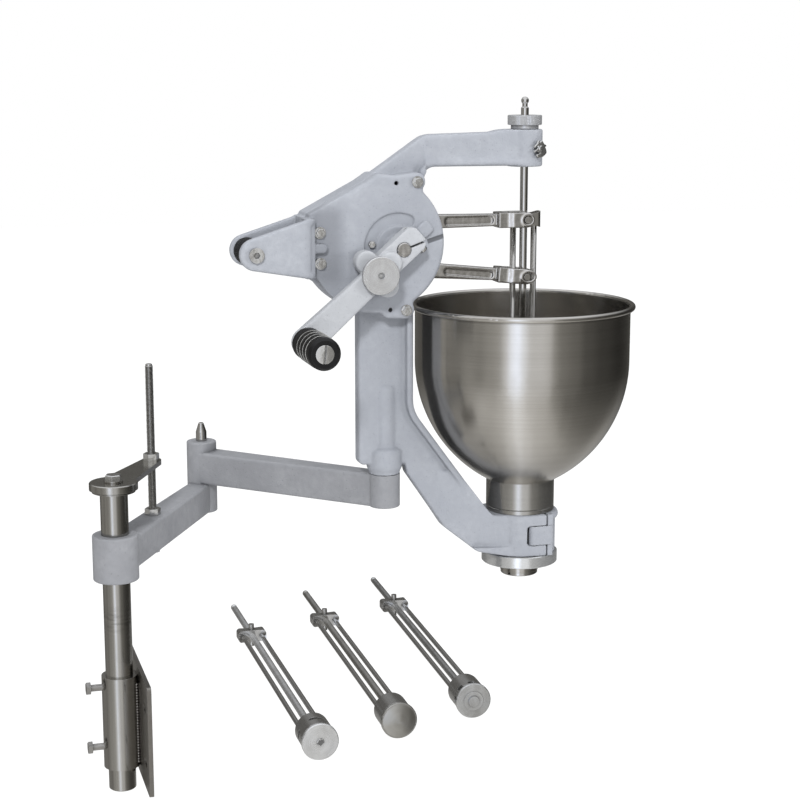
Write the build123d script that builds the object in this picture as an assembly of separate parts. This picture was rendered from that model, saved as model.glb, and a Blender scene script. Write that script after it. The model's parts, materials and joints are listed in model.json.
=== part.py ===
"""Hand-cranked donut depositor: dough head on a two-link swing arm and a clamped column.

Frame: origin at the centre of the mount plate's outer face, +X out of that face and
towards the hopper, +Z up. Millimetres.
"""
import os
from math import acos, atan2, cos, degrees, hypot, radians, sin, sqrt

from build123d import *

# Fits and gaps
running_gap = 0.05          # radial, shafts and pins that turn or slide
sliding_gap = 0.10          # radial, column and arm bores
thread_gap = 0.05           # radial, screws in their own holes
face_gap = 0.2              # flat faces that turn on each other
clear_gap = 0.4             # faces that must not touch

# Mount plate and column clamp
plate_width = 170.0
plate_height = 132.0
plate_thickness = 5.0
plate_corner = 4.0
slot_length = 20.0
slot_width = 9.0
slot_spacing_y = 116.0
slot_spacing_z = 66.0
sleeve_diameter = 42.0
sleeve_height = 112.0
sleeve_flat = 0.8           # flat on the sleeve where it seats on the plate
set_screw_diameter = 8.0
set_screw_heights = (42.0, -31.0)
set_screw_stand_off = 13.0  # bare shank between sleeve and head

# Column and lift bracket
column_diameter = 32.0
column_length = 360.0
column_foot = -84.0
column_bore = 20.0
column_solid_top = 40.0
cap_diameter = 56.0
cap_height = 8.5
cap_step_diameter = 50.0
cap_step_height = 3.0
lift_plate_thickness = 6.0
lift_plate_root = 20.0      # half width of the lift plate at the cap
lift_plate_tip = 12.0       # radius of its tip
lift_reach = 120.0          # column axis to lift rod
lift_rod_diameter = 10.0
lift_rod_top = 405.0
bolt_diameter = 10.0

# Lower arm
lower_arm_length = 300.0
lower_arm_angle = 60.6
lower_arm_base = 179.0
lower_arm_height = 39.6
lower_sleeve_diameter = 53.0
lower_sleeve_height = 54.0
arm_width_root = 36.0
arm_width_tip = 29.0
arm_boss_diameter = 38.6
arm_edge = 4.0
rod_foot_diameter = 15.0
rod_foot_height = 7.0
hinge_pin_diameter = 14.0
hinge_pin_stand = 24.0      # bullet end above the upper arm's boss
hinge_pin_nose = 12.0

# Upper arm
upper_arm_length = 275.0
upper_arm_angle = -45.0
upper_arm_height = 41.6
upper_boss_rise = 12.6      # elbow boss above the beam
head_pin_length = 144.0

# Head frame: heights above the arm joint, rises above the camshaft, spots as (from head pin, rise)
throat = 179.0              # head pin to plunger axis
shaft_height = 282.4
web_half = 10.5
flange_half = 21.0
flange_thickness = 8.0
flange_round = 2.0
column_left = -35.0
column_right = 31.5
column_corner = 7.0
frame_column_base = 13.5
roof_low_rise = 41.6        # slanted top edge at the case's rear end
roof_bend_spot = (-31.0, 78.1)
roof_high_spot = (48.0, 132.1)
roof_round = 30.0
case_chin_spot = (-70.0, -53.9)
column_neck_rise = -77.4    # where the case's underside meets the column
throat_top_spot = (46.0, 93.6)
throat_top_round = 16.0
throat_turn_rise = -52.4    # where the column's front edge leans out to the top arm
throat_bend = 80.5          # where the column turns into the lower arm
throat_bend_round = 45.0
yoke_ramp = (125.0, 9.0)    # foot of the throat edge, height above the yoke
lower_arm_heel = 26.0
lower_arm_knee = (75.0, -72.5)
lower_arm_chin = (112.0, 8.0)
lower_arm_round = 20.0
guide_rise = 137.1
guide_height = 45.0
guide_radius = 22.0
guide_flare = 60.0          # plunger axis back to where the top arm starts to widen
nose_flat = 33.0
nose_ramp = 14.0
nose_drop = 3.0
ring_diameter = 44.0
ring_base = 3.0
ring_height = 34.0
ring_round = 7.0
socket_boss_radius = 15.0
socket_boss_top = 113.0
socket_boss_round = 6.0
socket_depth = 107.0
yoke_top = -56.8
yoke_height = 53.2
yoke_radius = 46.0
yoke_split = 20.0           # plunger axis to the gate's split face
yoke_flare = 112.0          # plunger axis back to where the lower arm starts to widen
plinth_height = 13.0
plinth_half = 25.0
cast_edge = 3.0

# Cam case and side cover, depths from the head's middle plane, front is negative
case_radius = 83.0
case_spot = (-16.4, 4.6)
case_left = -100.0
case_wall = 6.0
case_back = 28.0
case_skin = 4.0
case_edge = 5.0
case_joint = -12.0
cover_front = -34.0
cover_skin = 5.0
cover_edge = 5.0
tail_low_rise = -33.4
tail_dip = 3.0              # depth of the hollow between the ear and the drum
tail_dip_end = -72.0
tail_dip_radius = 60.0
ear_spot = (-166.0, -2.9)
ear_radius = 19.0
ear_thickness = 12.0
ear_front = -44.0
ear_root_rise = 37.6
ear_root_width = 11.0
ear_corner = 4.0
ear_rib_width = 12.0
ear_rib_reach = 10.0
ear_rib_drop = 5.0
tail_bolt_spots = ((-87.0, 20.1), (-86.5, -16.4))
drum_bolt_spots = ((32.0, 77.6), (18.5, -75.4))
cover_bolt_diameter = 6.0
cover_washer_diameter = 14.0
cover_washer_height = 1.6
cover_lug_radius = 11.0
cover_lug_root = 12.0
cover_lug_drop = 4.0
cover_lug_round = 6.0
bolt_boss_diameter = 16.0
bolt_depth = 18.0
dowel_spots = ((6.0, 76.6), (-1.5, -74.4))
dowel_diameter = 5.0
dowel_length = 24.0
stop_bolt_spot = (-24.0, 4.6)
stop_bolt_diameter = 5.0
recess_radius = 34.0
recess_width = 15.0
recess_depth = 2.5
recess_start = 68.0
recess_end = 184.0
stop_pad_size = 17.0
stop_pad_height = 4.0
stop_pad_spot = (41.0, 21.6)
stop_pad_turn = 41.3
stop_pad_corner = 4.0
index_mark_spot = (55.0, 9.6)
index_mark_angle = 17.0
index_mark_length = 21.0
index_mark_width = 5.5

# Camshaft, cam and crank
shaft_x = 8.0
shaft_diameter = 17.0
shaft_front = -62.0
bush_diameter = 23.0
shaft_boss_diameter = 32.0
shaft_boss_front = -38.0
cam_radius = 48.0
cam_front = -21.0
cam_back = -9.0
track_depth = 6.0
track_gap = 0.35
roller_diameter = 10.0
roller_pin_diameter = 6.0
key_width = 5.0
key_middle = 8.0            # shaft axis to the key's middle
crank_swing = 110.0
crank_angle = 221.3
crank_radius = 159.0
crank_hub_width = 32.0
crank_hub_tail = 28.0
crank_hub_back = -40.0
crank_hub_front = -60.0
crank_arm_width = 27.0
crank_arm_back = -52.0
crank_arm_front = -66.0
crank_end_radius = 17.0
crank_bar_length = 66.0
crank_bar_place = 42.5
hub_slit = 2.0
slit_angle = 158.7
clamp_screw_diameter = 6.0
clamp_screw_x = -19.0
knob_diameter = 45.0
knob_thickness = 7.0
knob_stem_diameter = 10.0
knob_gap = 2.0
grip_diameter = 38.0
grip_length = 86.0
grip_groove = 2.0
grip_rib_count = 5
grip_bolt_diameter = 10.0
grip_screw_head = 22.0
grip_screw_depth = 5.0
rear_grip_diameter = 32.0

# Levers
lever_pivot_diameter = 12.0
pivot_boss_diameter = 20.0
pivot_end = 26.0            # pivot pins reach this far either side of the middle plane
pivot_x = -55.0
lower_pivot_rise = -21.2
lever_half = 6.0
lever_height = 17.0
lever_eye_radius = 13.0
drive_rise = 27.2           # upper drive studs
drive_drop = 70.2           # lower drive studs below the upper ones
sleeve_stroke = 13.0
disc_stroke = 25.0
fork_half = 15.6
fork_gap_half = 10.0
fork_height = 19.0
fork_root = 36.0            # plunger axis back to the fork block
fork_block_half = 12.5
fork_shoulder = 18.0        # plunger axis back to the prongs' full width
fork_ramp = 6.0
fork_crotch = 25.0
fork_slot_gap = 0.6
flank_recess = 2.5
flank_height = 8.0
window_margin = 4.0
stud_diameter = 8.0
stud_thread = 5.0
stud_reach = 16.4

# Plungers
rod_diameter = 9.5
side_rod_diameter = 6.4
side_rod_pitch = 27.0
rod_seat = 5.0              # side rods end this far above the drive studs
crosshead_width = 41.0
crosshead_depth = 17.0
crosshead_height = 20.0
crosshead_waist = 13.0
block_width = 17.0
block_depth = 18.0
block_height = 16.0
plunger_rise = 176.1        # ball end
ball_diameter = 9.4
ball_neck_diameter = 6.5
disc_diameter = 47.0
disc_thickness = 4.3
sleeve_lift = 4.0           # cutter sleeve above the disc at rest
cutter_height = 40.0
cutter_wall = 2.2
cutter_crown = 7.0
port_width = 18.0
port_height = 6.0
star_teeth = 8
star_notch = 7.0
star_depth = 7.0
star_screw_diameter = 9.0
dome_height = 4.0

# Guide on top of the frame
guide_bush_diameter = 20.0
collar_diameter = 42.0
collar_height = 10.5
collar_neck_diameter = 34.0
collar_neck_height = 5.5
knurl_count = 30
knurl_depth = 0.7
wing_screw_diameter = 6.0
wing_span = 23.0
wing_lobe = 7.0
wing_thickness = 5.0
wing_screw_drop = 22.5
wing_screw_angle = -66.0

# Hopper, nozzle and gate
rim_radius = 140.0
rim_height = 206.4
rim_lip = 3.5
bowl_radius = 134.0
bowl_arc_radius = 171.2
bowl_arc_top = 134.4
bowl_wall = 1.5
neck_radius = 43.0
neck_wall = 2.0
neck_foot = 5.5             # height of the foot ring below the neck's groove
neck_groove = 0.8
base_thickness = 6.0
spigot_radius = 33.0
spigot_low = -123.6
nozzle_radius = 24.0
nozzle_wall = 2.0
nozzle_lip = -137.1
nozzle_top = -52.0
nut_diameter = 96.0
nut_height = 14.7
nut_taper = 1.0
hinge_place = (4.0, -40.0)  # gate hinge from the plunger axis
gate_pin_diameter = 6.0
gate_radius = 45.0
gate_bead_radius = 5.5
gate_bead_stand = 3.5       # bead proud of the gate
gate_window_gap = 3.5       # hinge knuckle to the window's rear wall
knuckle_radius = 5.8
knuckle_height = 24.0
gate_split_gap = 1.5

# Spare plungers lying on the plane of the column's foot
spare_first = (219.0, 12.0)
spare_step = (113.0, 41.0)
spare_yaw = 0.7
spare_yaw_step = 1.0

# Places worked out from the sizes above
column_x = -(plate_thickness + sleeve_diameter / 2 - sleeve_flat)
column_top = column_foot + column_length
cap_base = column_top + face_gap
cap_top = cap_base + cap_step_height + cap_height
lower_arm_top = lower_arm_base + lower_arm_height
upper_arm_base = lower_arm_top + face_gap
upper_arm_top = upper_arm_base + upper_arm_height
head_base = upper_arm_top + face_gap
elbow_x = column_x + lower_arm_length * cos(radians(lower_arm_angle))
elbow_y = lower_arm_length * sin(radians(lower_arm_angle))
head_x = elbow_x + upper_arm_length * cos(radians(upper_arm_angle))
head_y = elbow_y + upper_arm_length * sin(radians(upper_arm_angle))
disc_top = nozzle_lip - face_gap
far_ear_front = case_back - ear_thickness
tail_front = cover_front + tail_dip
roller_front = cam_back - track_depth + clear_gap
roof_low = shaft_height + roof_low_rise
column_neck = shaft_height + column_neck_rise
throat_turn = shaft_height + throat_turn_rise
guide_top = shaft_height + guide_rise
tail_low = shaft_height + tail_low_rise
ear_root_high = shaft_height + ear_root_rise
lower_pivot_height = shaft_height + lower_pivot_rise
drive_height = shaft_height + drive_rise
block_drive = drive_height - drive_drop
plunger_top = shaft_height + plunger_rise
upper_pivot = (pivot_x, drive_height)
lower_pivot = (pivot_x, lower_pivot_height)


def raised(spot):
    """Place in the head's side view from a spot given at the camshaft's height."""
    return (spot[0], shaft_height + spot[1])


shaft_place = (shaft_x, shaft_height)
roof_bend = raised(roof_bend_spot)
roof_high = raised(roof_high_spot)
case_chin = raised(case_chin_spot)
throat_top = raised(throat_top_spot)
case_centre = raised(case_spot)
ear_centre = raised(ear_spot)
tail_bolt_places = [raised(spot) for spot in tail_bolt_spots]
drum_bolt_places = [raised(spot) for spot in drum_bolt_spots]
cover_bolt_places = tail_bolt_places + drum_bolt_places
dowel_places = [raised(spot) for spot in dowel_spots]
stop_bolt_place = raised(stop_bolt_spot)
stop_pad_place = raised(stop_pad_spot)
index_mark_place = raised(index_mark_spot)

lower_arm_at = Pos(column_x, 0, 0) * Rot(0, 0, lower_arm_angle)
upper_arm_at = Pos(elbow_x, elbow_y, 0) * Rot(0, 0, upper_arm_angle)
head_at = Pos(head_x, head_y, head_base)
shaft_at = Pos(shaft_place[0], 0, shaft_place[1])
crank_at = shaft_at * Rot(0, -crank_angle, 0)
plunger_at = Pos(throat, 0, 0)

LOW = (Align.CENTER, Align.CENTER, Align.MIN)


def bar_z(diameter, low, high, x=0.0, y=0.0):
    """Round bar along Z."""
    return Pos(x, y, low) * Cylinder(diameter / 2, high - low, align=LOW)


def bar_y(diameter, front, back, place=(0.0, 0.0)):
    """Round bar along Y at a place in the X-Z plane."""
    return Pos(place[0], front, place[1]) * Rot(-90, 0, 0) * Cylinder(diameter / 2, back - front, align=LOW)


def bar_x(diameter, left, right, y=0.0, z=0.0):
    """Round bar along X."""
    return Pos(left, y, z) * Rot(0, 90, 0) * Cylinder(diameter / 2, right - left, align=LOW)


def slab(profile, front, back):
    """Side-view profile (X, Z) given a depth along Y."""
    return extrude(Plane.XZ.offset(-back) * profile, back - front)


def plan(profile, low, high):
    """Plan-view profile (X, Y) given a height along Z."""
    return extrude(Pos(0, 0, low) * profile, high - low)


def polygon(*points):
    return make_face(Polyline(*points, close=True))


def dot(place, radius):
    return Pos(place[0], place[1]) * Circle(radius)


def polar(angle, radius):
    return (radius * cos(radians(angle)), radius * sin(radians(angle)))


def strap(start, start_radius, end, end_radius):
    """Two circles joined by their outer tangents."""
    run = end[0] - start[0]
    rise = end[1] - start[1]
    heading = degrees(atan2(rise, run))
    spread = degrees(acos((start_radius - end_radius) / hypot(run, rise)))
    corners = []
    for place, radius, sides in ((start, start_radius, (1, -1)), (end, end_radius, (-1, 1))):
        for side in sides:
            step = polar(heading + side * spread, radius)
            corners.append((place[0] + step[0], place[1] + step[1]))
    return polygon(*corners) + dot(start, start_radius) + dot(end, end_radius)


def soften(profile, places, radius):
    """Rounds the corners nearest to the given places."""
    for place in places:
        profile = fillet(profile.vertices().sort_by_distance((place[0], place[1], 0))[0], radius)
    return profile


def hex_prism(flats, height):
    """Hexagon prism standing on z = 0."""
    return extrude(RegularPolygon(flats / 2, 6, major_radius=False), height)


def turned(points):
    """Solid of revolution about Z from (radius, height) points."""
    return revolve(Plane.XZ * polygon(*points), Axis.Z)


# Mount and column

def mount_plate():
    profile = fillet(Rectangle(plate_width, plate_height).vertices(), plate_corner)
    for side in (-1, 1):
        for level in (-1, 1):
            place = Pos(side * slot_spacing_y / 2, level * slot_spacing_z / 2)
            profile -= place * SlotOverall(slot_length, slot_width)
    return extrude(Plane.YZ * profile, -plate_thickness)


def clamp_sleeve():
    bore = column_diameter + 2 * sliding_gap
    sleeve = bar_z(sleeve_diameter, -sleeve_height / 2, sleeve_height / 2)
    sleeve -= bar_z(bore, -sleeve_height / 2, sleeve_height / 2)
    seat = sleeve_diameter / 2 - sleeve_flat
    sleeve -= Pos(seat + sleeve_diameter / 2, 0, 0) * Box(sleeve_diameter, sleeve_diameter, sleeve_height)
    for height in set_screw_heights:
        sleeve -= bar_x(set_screw_diameter + 2 * thread_gap, -sleeve_diameter, 0, z=height)
    return Pos(column_x, 0, 0) * sleeve


def hex_bolt(diameter, flats, head_height, length):
    """Hexagon bolt with its head on z = 0 and its shank going down."""
    head = hex_prism(flats, head_height)
    head = chamfer(head.faces().sort_by(Axis.Z)[-1].edges(), head_height * 0.12)
    return head + bar_z(diameter, -length, 0)


def set_screws():
    tip = column_diameter / 2 + clear_gap
    seat = sleeve_diameter / 2 + set_screw_stand_off
    screw = Rot(0, -90, 0) * hex_bolt(set_screw_diameter, 13.0, 5.5, seat - tip)
    return [Pos(column_x - seat, 0, height) * screw for height in set_screw_heights]


def column():
    bar = bar_z(column_diameter, column_foot, column_top)
    bar = chamfer(bar.edges(), 1.0)
    bar -= bar_z(column_bore, column_foot, column_top - column_solid_top)
    bar -= bar_z(bolt_diameter + 2 * thread_gap, column_top - 30.0, column_top)
    return Pos(column_x, 0, 0) * bar


def cap_washer():
    low = cap_top + face_gap
    washer = bar_z(22.0, low, low + 2.0) - bar_z(bolt_diameter + 2 * thread_gap, low, low + 2.0)
    return Pos(column_x, 0, 0) * washer


def cap_bolt():
    seat = cap_top + face_gap + 2.0
    return Pos(column_x, 0, seat) * Rot(0, 0, 12) * hex_bolt(bolt_diameter, 17.0, 6.4, seat - column_top + 25.0)


def lift_bracket():
    cap = turned([
        (0, cap_base), (cap_step_diameter / 2, cap_base),
        (cap_step_diameter / 2, cap_base + cap_step_height),
        (cap_diameter / 2, cap_base + cap_step_height), (cap_diameter / 2, cap_top - 1.0),
        (cap_diameter / 2 - 1.0, cap_top), (0, cap_top),
    ])
    link = strap((0, 0), lift_plate_root, (lift_reach, 0), lift_plate_tip)
    cap += plan(link, cap_top - lift_plate_thickness - 0.6, cap_top - 0.6)
    cap -= bar_z(bolt_diameter + 2 * sliding_gap, cap_base, cap_top)
    cap -= bar_z(lift_rod_diameter + 2 * sliding_gap, cap_base, cap_top, lift_reach)
    return lower_arm_at * cap


def height_nut():
    seat = cap_top - 0.6
    nut = hex_prism(17.0, 8.0) - bar_z(lift_rod_diameter + 2 * sliding_gap, 0, 8.0)
    return lower_arm_at * Pos(lift_reach, 0, seat) * nut


# Swing arms

def tapered_beam(length, low, high):
    outline = polygon(
        (0, -arm_width_root / 2), (length, -arm_width_tip / 2),
        (length, arm_width_tip / 2), (0, arm_width_root / 2),
    )
    beam = plan(outline, low, high)
    long_edges = [edge for edge in beam.edges() if edge.length > length * 0.9]
    return fillet(long_edges, arm_edge)


def lower_arm():
    middle = lower_arm_base + lower_arm_height / 2
    sleeve_low = middle - lower_sleeve_height / 2
    sleeve_high = middle + lower_sleeve_height / 2
    sleeve = bar_z(lower_sleeve_diameter, sleeve_low, sleeve_high)
    sleeve = fillet(sleeve.edges(), 2.0)
    arm = sleeve + tapered_beam(lower_arm_length, lower_arm_base, lower_arm_top)
    boss = bar_z(arm_boss_diameter, lower_arm_base, lower_arm_top)
    arm += Pos(lower_arm_length, 0, 0) * fillet(boss.edges().sort_by(Axis.Z)[0], 1.5)
    arm += bar_z(rod_foot_diameter, lower_arm_base - rod_foot_height, lower_arm_top - 1.0, lift_reach)
    arm -= bar_z(column_diameter + 2 * sliding_gap, sleeve_low, sleeve_high)
    arm -= bar_z(hinge_pin_diameter + 2 * thread_gap, lower_arm_base + 4.0, lower_arm_top, lower_arm_length)
    rod_hole = lift_rod_diameter + 2 * thread_gap
    arm -= bar_z(rod_hole, lower_arm_base - rod_foot_height, lower_arm_top, lift_reach)
    return lower_arm_at * arm


def lift_rod():
    low = lower_arm_base - rod_foot_height + 1.0
    rod = chamfer(bar_z(lift_rod_diameter, low, lift_rod_top, lift_reach).edges(), 0.8)
    return lower_arm_at * rod


def lock_nut():
    nut = hex_prism(17.0, 8.0) - bar_z(lift_rod_diameter + 2 * thread_gap, 0, 8.0)
    return lower_arm_at * Pos(lift_reach, 0, lower_arm_top) * nut


def elbow_pin():
    radius = hinge_pin_diameter / 2
    top = upper_arm_top + upper_boss_rise + hinge_pin_stand
    base = lower_arm_base + 4.0
    pin = turned([
        (0, base), (radius, base), (radius, top - hinge_pin_nose),
        (radius * 0.5, top - 1.0), (radius * 0.4, top), (0, top),
    ])
    return Pos(elbow_x, elbow_y, 0) * pin


def upper_arm():
    boss_top = upper_arm_top + upper_boss_rise
    arm = tapered_beam(upper_arm_length, upper_arm_base, upper_arm_top)
    elbow_boss = bar_z(arm_boss_diameter, upper_arm_base, boss_top)
    arm += fillet(elbow_boss.edges().sort_by(Axis.Z)[-1], 2.0)
    head_boss = bar_z(arm_boss_diameter, upper_arm_base, upper_arm_top)
    arm += Pos(upper_arm_length, 0, 0) * fillet(head_boss.edges().sort_by(Axis.Z)[0], 2.0)
    arm -= bar_z(hinge_pin_diameter + 2 * running_gap, upper_arm_base, boss_top)
    arm -= bar_z(hinge_pin_diameter + 2 * thread_gap, upper_arm_base + 4.0, upper_arm_top, upper_arm_length)
    return upper_arm_at * arm


def head_pin():
    low = upper_arm_base + 4.0
    pin = chamfer(bar_z(hinge_pin_diameter, low, low + head_pin_length).edges(), 1.0)
    return Pos(head_x, head_y, 0) * pin


# Head frame and side cover

def frame_outline():
    """Outer side-view outline of the casting, with the throat still filled."""
    low = yoke_top - yoke_height
    chin = (lower_arm_chin[0], low + lower_arm_chin[1])
    corner = (column_left, frame_column_base)
    body = polygon(
        (throat, guide_top), (throat - nose_flat, guide_top),
        (throat - nose_flat - nose_ramp, guide_top - nose_drop), roof_high, roof_bend,
        (case_left, roof_low), (case_left, tail_low), case_chin, (column_left, column_neck), corner,
        (lower_arm_heel - cast_edge, frame_column_base), (lower_arm_heel, 0.0), lower_arm_knee, chin,
        (throat - yoke_radius / 2, low), (throat, low),
    )
    body = soften(body, [roof_high], roof_round)
    body = soften(body, [lower_arm_knee, chin], lower_arm_round)
    return soften(body, [corner], column_corner)


def throat_outline():
    """Open throat between the top arm, the frame column and the lower arm."""
    far = throat + rim_radius
    bend = (column_right, throat_bend)
    foot = (yoke_ramp[0], yoke_top + yoke_ramp[1])
    space = polygon(
        (far, throat_top[1]), throat_top, (column_right, throat_turn), bend, foot,
        (throat - neck_radius - cast_edge, yoke_top), (far, yoke_top),
    )
    space = soften(space, [throat_top], throat_top_round)
    space = soften(space, [bend], throat_bend_round)
    return soften(space, [foot], lower_arm_round)


def under_roof(inset):
    """Everything below the casting's slanted top edge."""
    slope = atan2(roof_high[1] - roof_low, roof_high[0] - case_left)
    drop = inset / cos(slope)
    low = shaft_height - 2 * case_radius
    return polygon(
        (case_left + inset, low), (case_left + inset, roof_low - drop), (roof_bend[0], roof_bend[1] - drop),
        (roof_high[0], roof_high[1] - drop), (throat, roof_high[1] - drop), (throat, low),
    )


def case_profile(inset=0.0):
    """Cam case from the side: a drum with a tail towards the rear grip."""
    middle = case_centre[0]
    tail = polygon(
        (case_left + inset, tail_low + inset), (middle, tail_low + inset),
        (middle, roof_bend[1]), (case_left + inset, roof_bend[1]),
    )
    return (dot(case_centre, case_radius - inset) + tail) & under_roof(inset)


def beside(place, angle, reach):
    step = polar(angle, reach)
    return (place[0] + step[0], place[1] + step[1])


def joint_profile():
    """Outline shared by both halves of the case, with its bolt and dowel lugs."""
    top_bolt, low_bolt = drum_bolt_places
    low_dowel = dowel_places[1]
    top_start = (case_centre[0] + cover_lug_root, top_bolt[1] - cover_lug_drop)
    profile = case_profile()
    profile += strap(top_start, cover_lug_radius, top_bolt, cover_lug_radius)
    profile += strap(low_dowel, cover_lug_radius, low_bolt, cover_lug_radius)
    tail_end = case_centre[0] - sqrt(case_radius ** 2 - (case_centre[1] - tail_low) ** 2)
    corners = [
        beside(low_dowel, 200.0, cover_lug_radius), beside(low_bolt, 50.0, cover_lug_radius),
        beside(top_bolt, -62.0, cover_lug_radius), (tail_end, tail_low),
    ]
    return soften(profile & under_roof(0.0), corners, cover_lug_round)


def ear(front, back):
    """Plate that carries one end of the rear grip."""
    low = (case_left, tail_low + ear_corner)
    high = (case_left, ear_root_high - ear_corner)
    outline = strap(ear_centre, ear_radius, low, ear_corner) + strap(ear_centre, ear_radius, high, ear_corner)
    outline += polygon(ear_centre, low, high)
    end = case_left + ear_root_width / 2
    reach = end - ear_centre[0] + 2 * ear_radius
    outline &= Pos(end, ear_centre[1]) * Rectangle(reach, 4 * reach, align=(Align.MAX, Align.CENTER))
    return soft_slab(outline, front, back, cast_edge)


def tail_hollow():
    """Shallow hollow across the cover's tail that runs out onto the drum."""
    start = case_left - ear_root_width
    run = sqrt(tail_dip_radius ** 2 - (tail_dip_radius - tail_dip) ** 2)
    middle = tail_dip_radius * sin(radians(degrees(atan2(run, tail_dip_radius - tail_dip)) / 2))
    middle_drop = tail_dip_radius - sqrt(tail_dip_radius ** 2 - middle ** 2)
    front = cover_front - tail_dip
    sides = [
        Line((start, front), (start, tail_front)),
        Line((start, tail_front), (tail_dip_end, tail_front)),
        ThreePointArc((tail_dip_end, tail_front), (tail_dip_end + middle, tail_front - middle_drop),
                      (tail_dip_end + run, cover_front)),
        Line((tail_dip_end + run, cover_front), (tail_dip_end + run, front)),
        Line((tail_dip_end + run, front), (start, front)),
    ]
    return plan(make_face(sides), tail_low - case_radius, roof_bend[1])


def ear_rib():
    """Rib that runs out of the near ear's root between the two tail bolts."""
    height = (tail_bolt_places[0][1] + tail_bolt_places[1][1]) / 2
    end = case_left + ear_root_width / 2 + ear_rib_reach
    outline = Pos(case_left, height) * Rectangle(end - case_left, ear_rib_width, align=(Align.MIN, Align.CENTER))
    outline += dot((end, height), ear_rib_width / 2)
    rib = slab(outline, ear_front + ear_rib_drop, cover_front + cover_skin)
    return fillet(rib.faces().sort_by(Axis.Y)[0].edges(), cast_edge)


def ear_foot(front, back):
    foot = Pos(case_left, (tail_low + ear_root_high) / 2) * Rectangle(ear_root_width, ear_root_high - tail_low)
    return slab(foot, front, back)


def bosses(places, diameter, front, back):
    return [bar_y(diameter, front, back, place) for place in places]


def lever_window(height, drop):
    """Mouth in the case wall for one lever and its swing."""
    low = height - drop - lever_height / 2 - window_margin
    high = height + lever_height / 2 + window_margin
    left = case_centre[0] + 0.65 * case_radius
    mouth = Box(case_radius, 2 * (lever_half + window_margin), high - low, align=(Align.MIN, Align.CENTER, Align.MIN))
    return Pos(left, 0, low) * mouth


def lever_windows():
    mouth = case_centre[0] + case_radius
    share = (mouth - pivot_x) / (throat - pivot_x)
    lower_height = lower_pivot_height + (block_drive - lower_pivot_height) * share
    return [lever_window(drive_height, share * sleeve_stroke), lever_window(lower_height, share * disc_stroke)]


def yoke():
    low = yoke_top - yoke_height
    back = Circle(yoke_radius) & Pos(-yoke_radius, 0) * Rectangle(2 * yoke_radius, 4 * yoke_radius)
    arms = Rectangle(yoke_split, 2 * yoke_radius, align=(Align.MIN, Align.CENTER))
    block = plan(back + arms, low, yoke_top)
    return plunger_at * fillet(block.faces().sort_by(Axis.Z)[0].edges(), 1.5)


def yoke_hollow():
    low = yoke_top - yoke_height
    bore = spigot_radius + clear_gap
    slot = Circle(bore) + Rectangle(2 * yoke_radius, 2 * bore, align=(Align.MIN, Align.CENTER))
    hollow = plan(slot, low, yoke_top)
    window = Box(2 * yoke_radius, yoke_radius, knuckle_height + 2 * clear_gap,
                 align=(Align.MIN, Align.MAX, Align.CENTER))
    window = fillet(window.edges().filter_by(Axis.Y).group_by(Axis.X)[0], cast_edge)
    start = hinge_place[0] - knuckle_radius - gate_window_gap
    hollow += Pos(start, -spigot_radius + 1.0, yoke_top - yoke_height / 2) * window
    hollow += bar_z(gate_pin_diameter + 2 * thread_gap, low, yoke_top - 3.0, *hinge_place)
    return plunger_at * hollow


def arm_flare(outline, reach, start_half, end_half, low, high):
    """Widens an arm, seen from above, until it runs into the round block at its end."""
    half = end_half - cast_edge
    sweep = strap((throat - reach, 0), start_half, (throat, 0), half)
    sweep &= Pos(throat, 0) * Rectangle(2 * reach, 4 * half, align=(Align.MAX, Align.CENTER))
    return slab(outline, -half, half) & plan(sweep, low, high)


def pin_socket():
    """Barrel ring and upright boss around the head pin."""
    barrel = fillet(bar_z(ring_diameter, ring_base, ring_height).edges(), ring_round)
    boss = bar_z(2 * socket_boss_radius, 0, socket_boss_top)
    boss = fillet(boss.edges().sort_by(Axis.Z)[-1], socket_boss_round)
    return barrel + boss + bar_z(arm_boss_diameter, 0, ring_height / 2)


def wing_screw_at():
    return plunger_at * Pos(0, 0, guide_top - wing_screw_drop) * Rot(0, 0, wing_screw_angle)


def soft_slab(profile, front, back, edge):
    """Slab with both outlines rounded, as cast."""
    block = slab(profile, front, back)
    faces = block.faces().sort_by(Axis.Y)
    return fillet(faces[0].edges() + faces[-1].edges(), edge)


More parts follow.
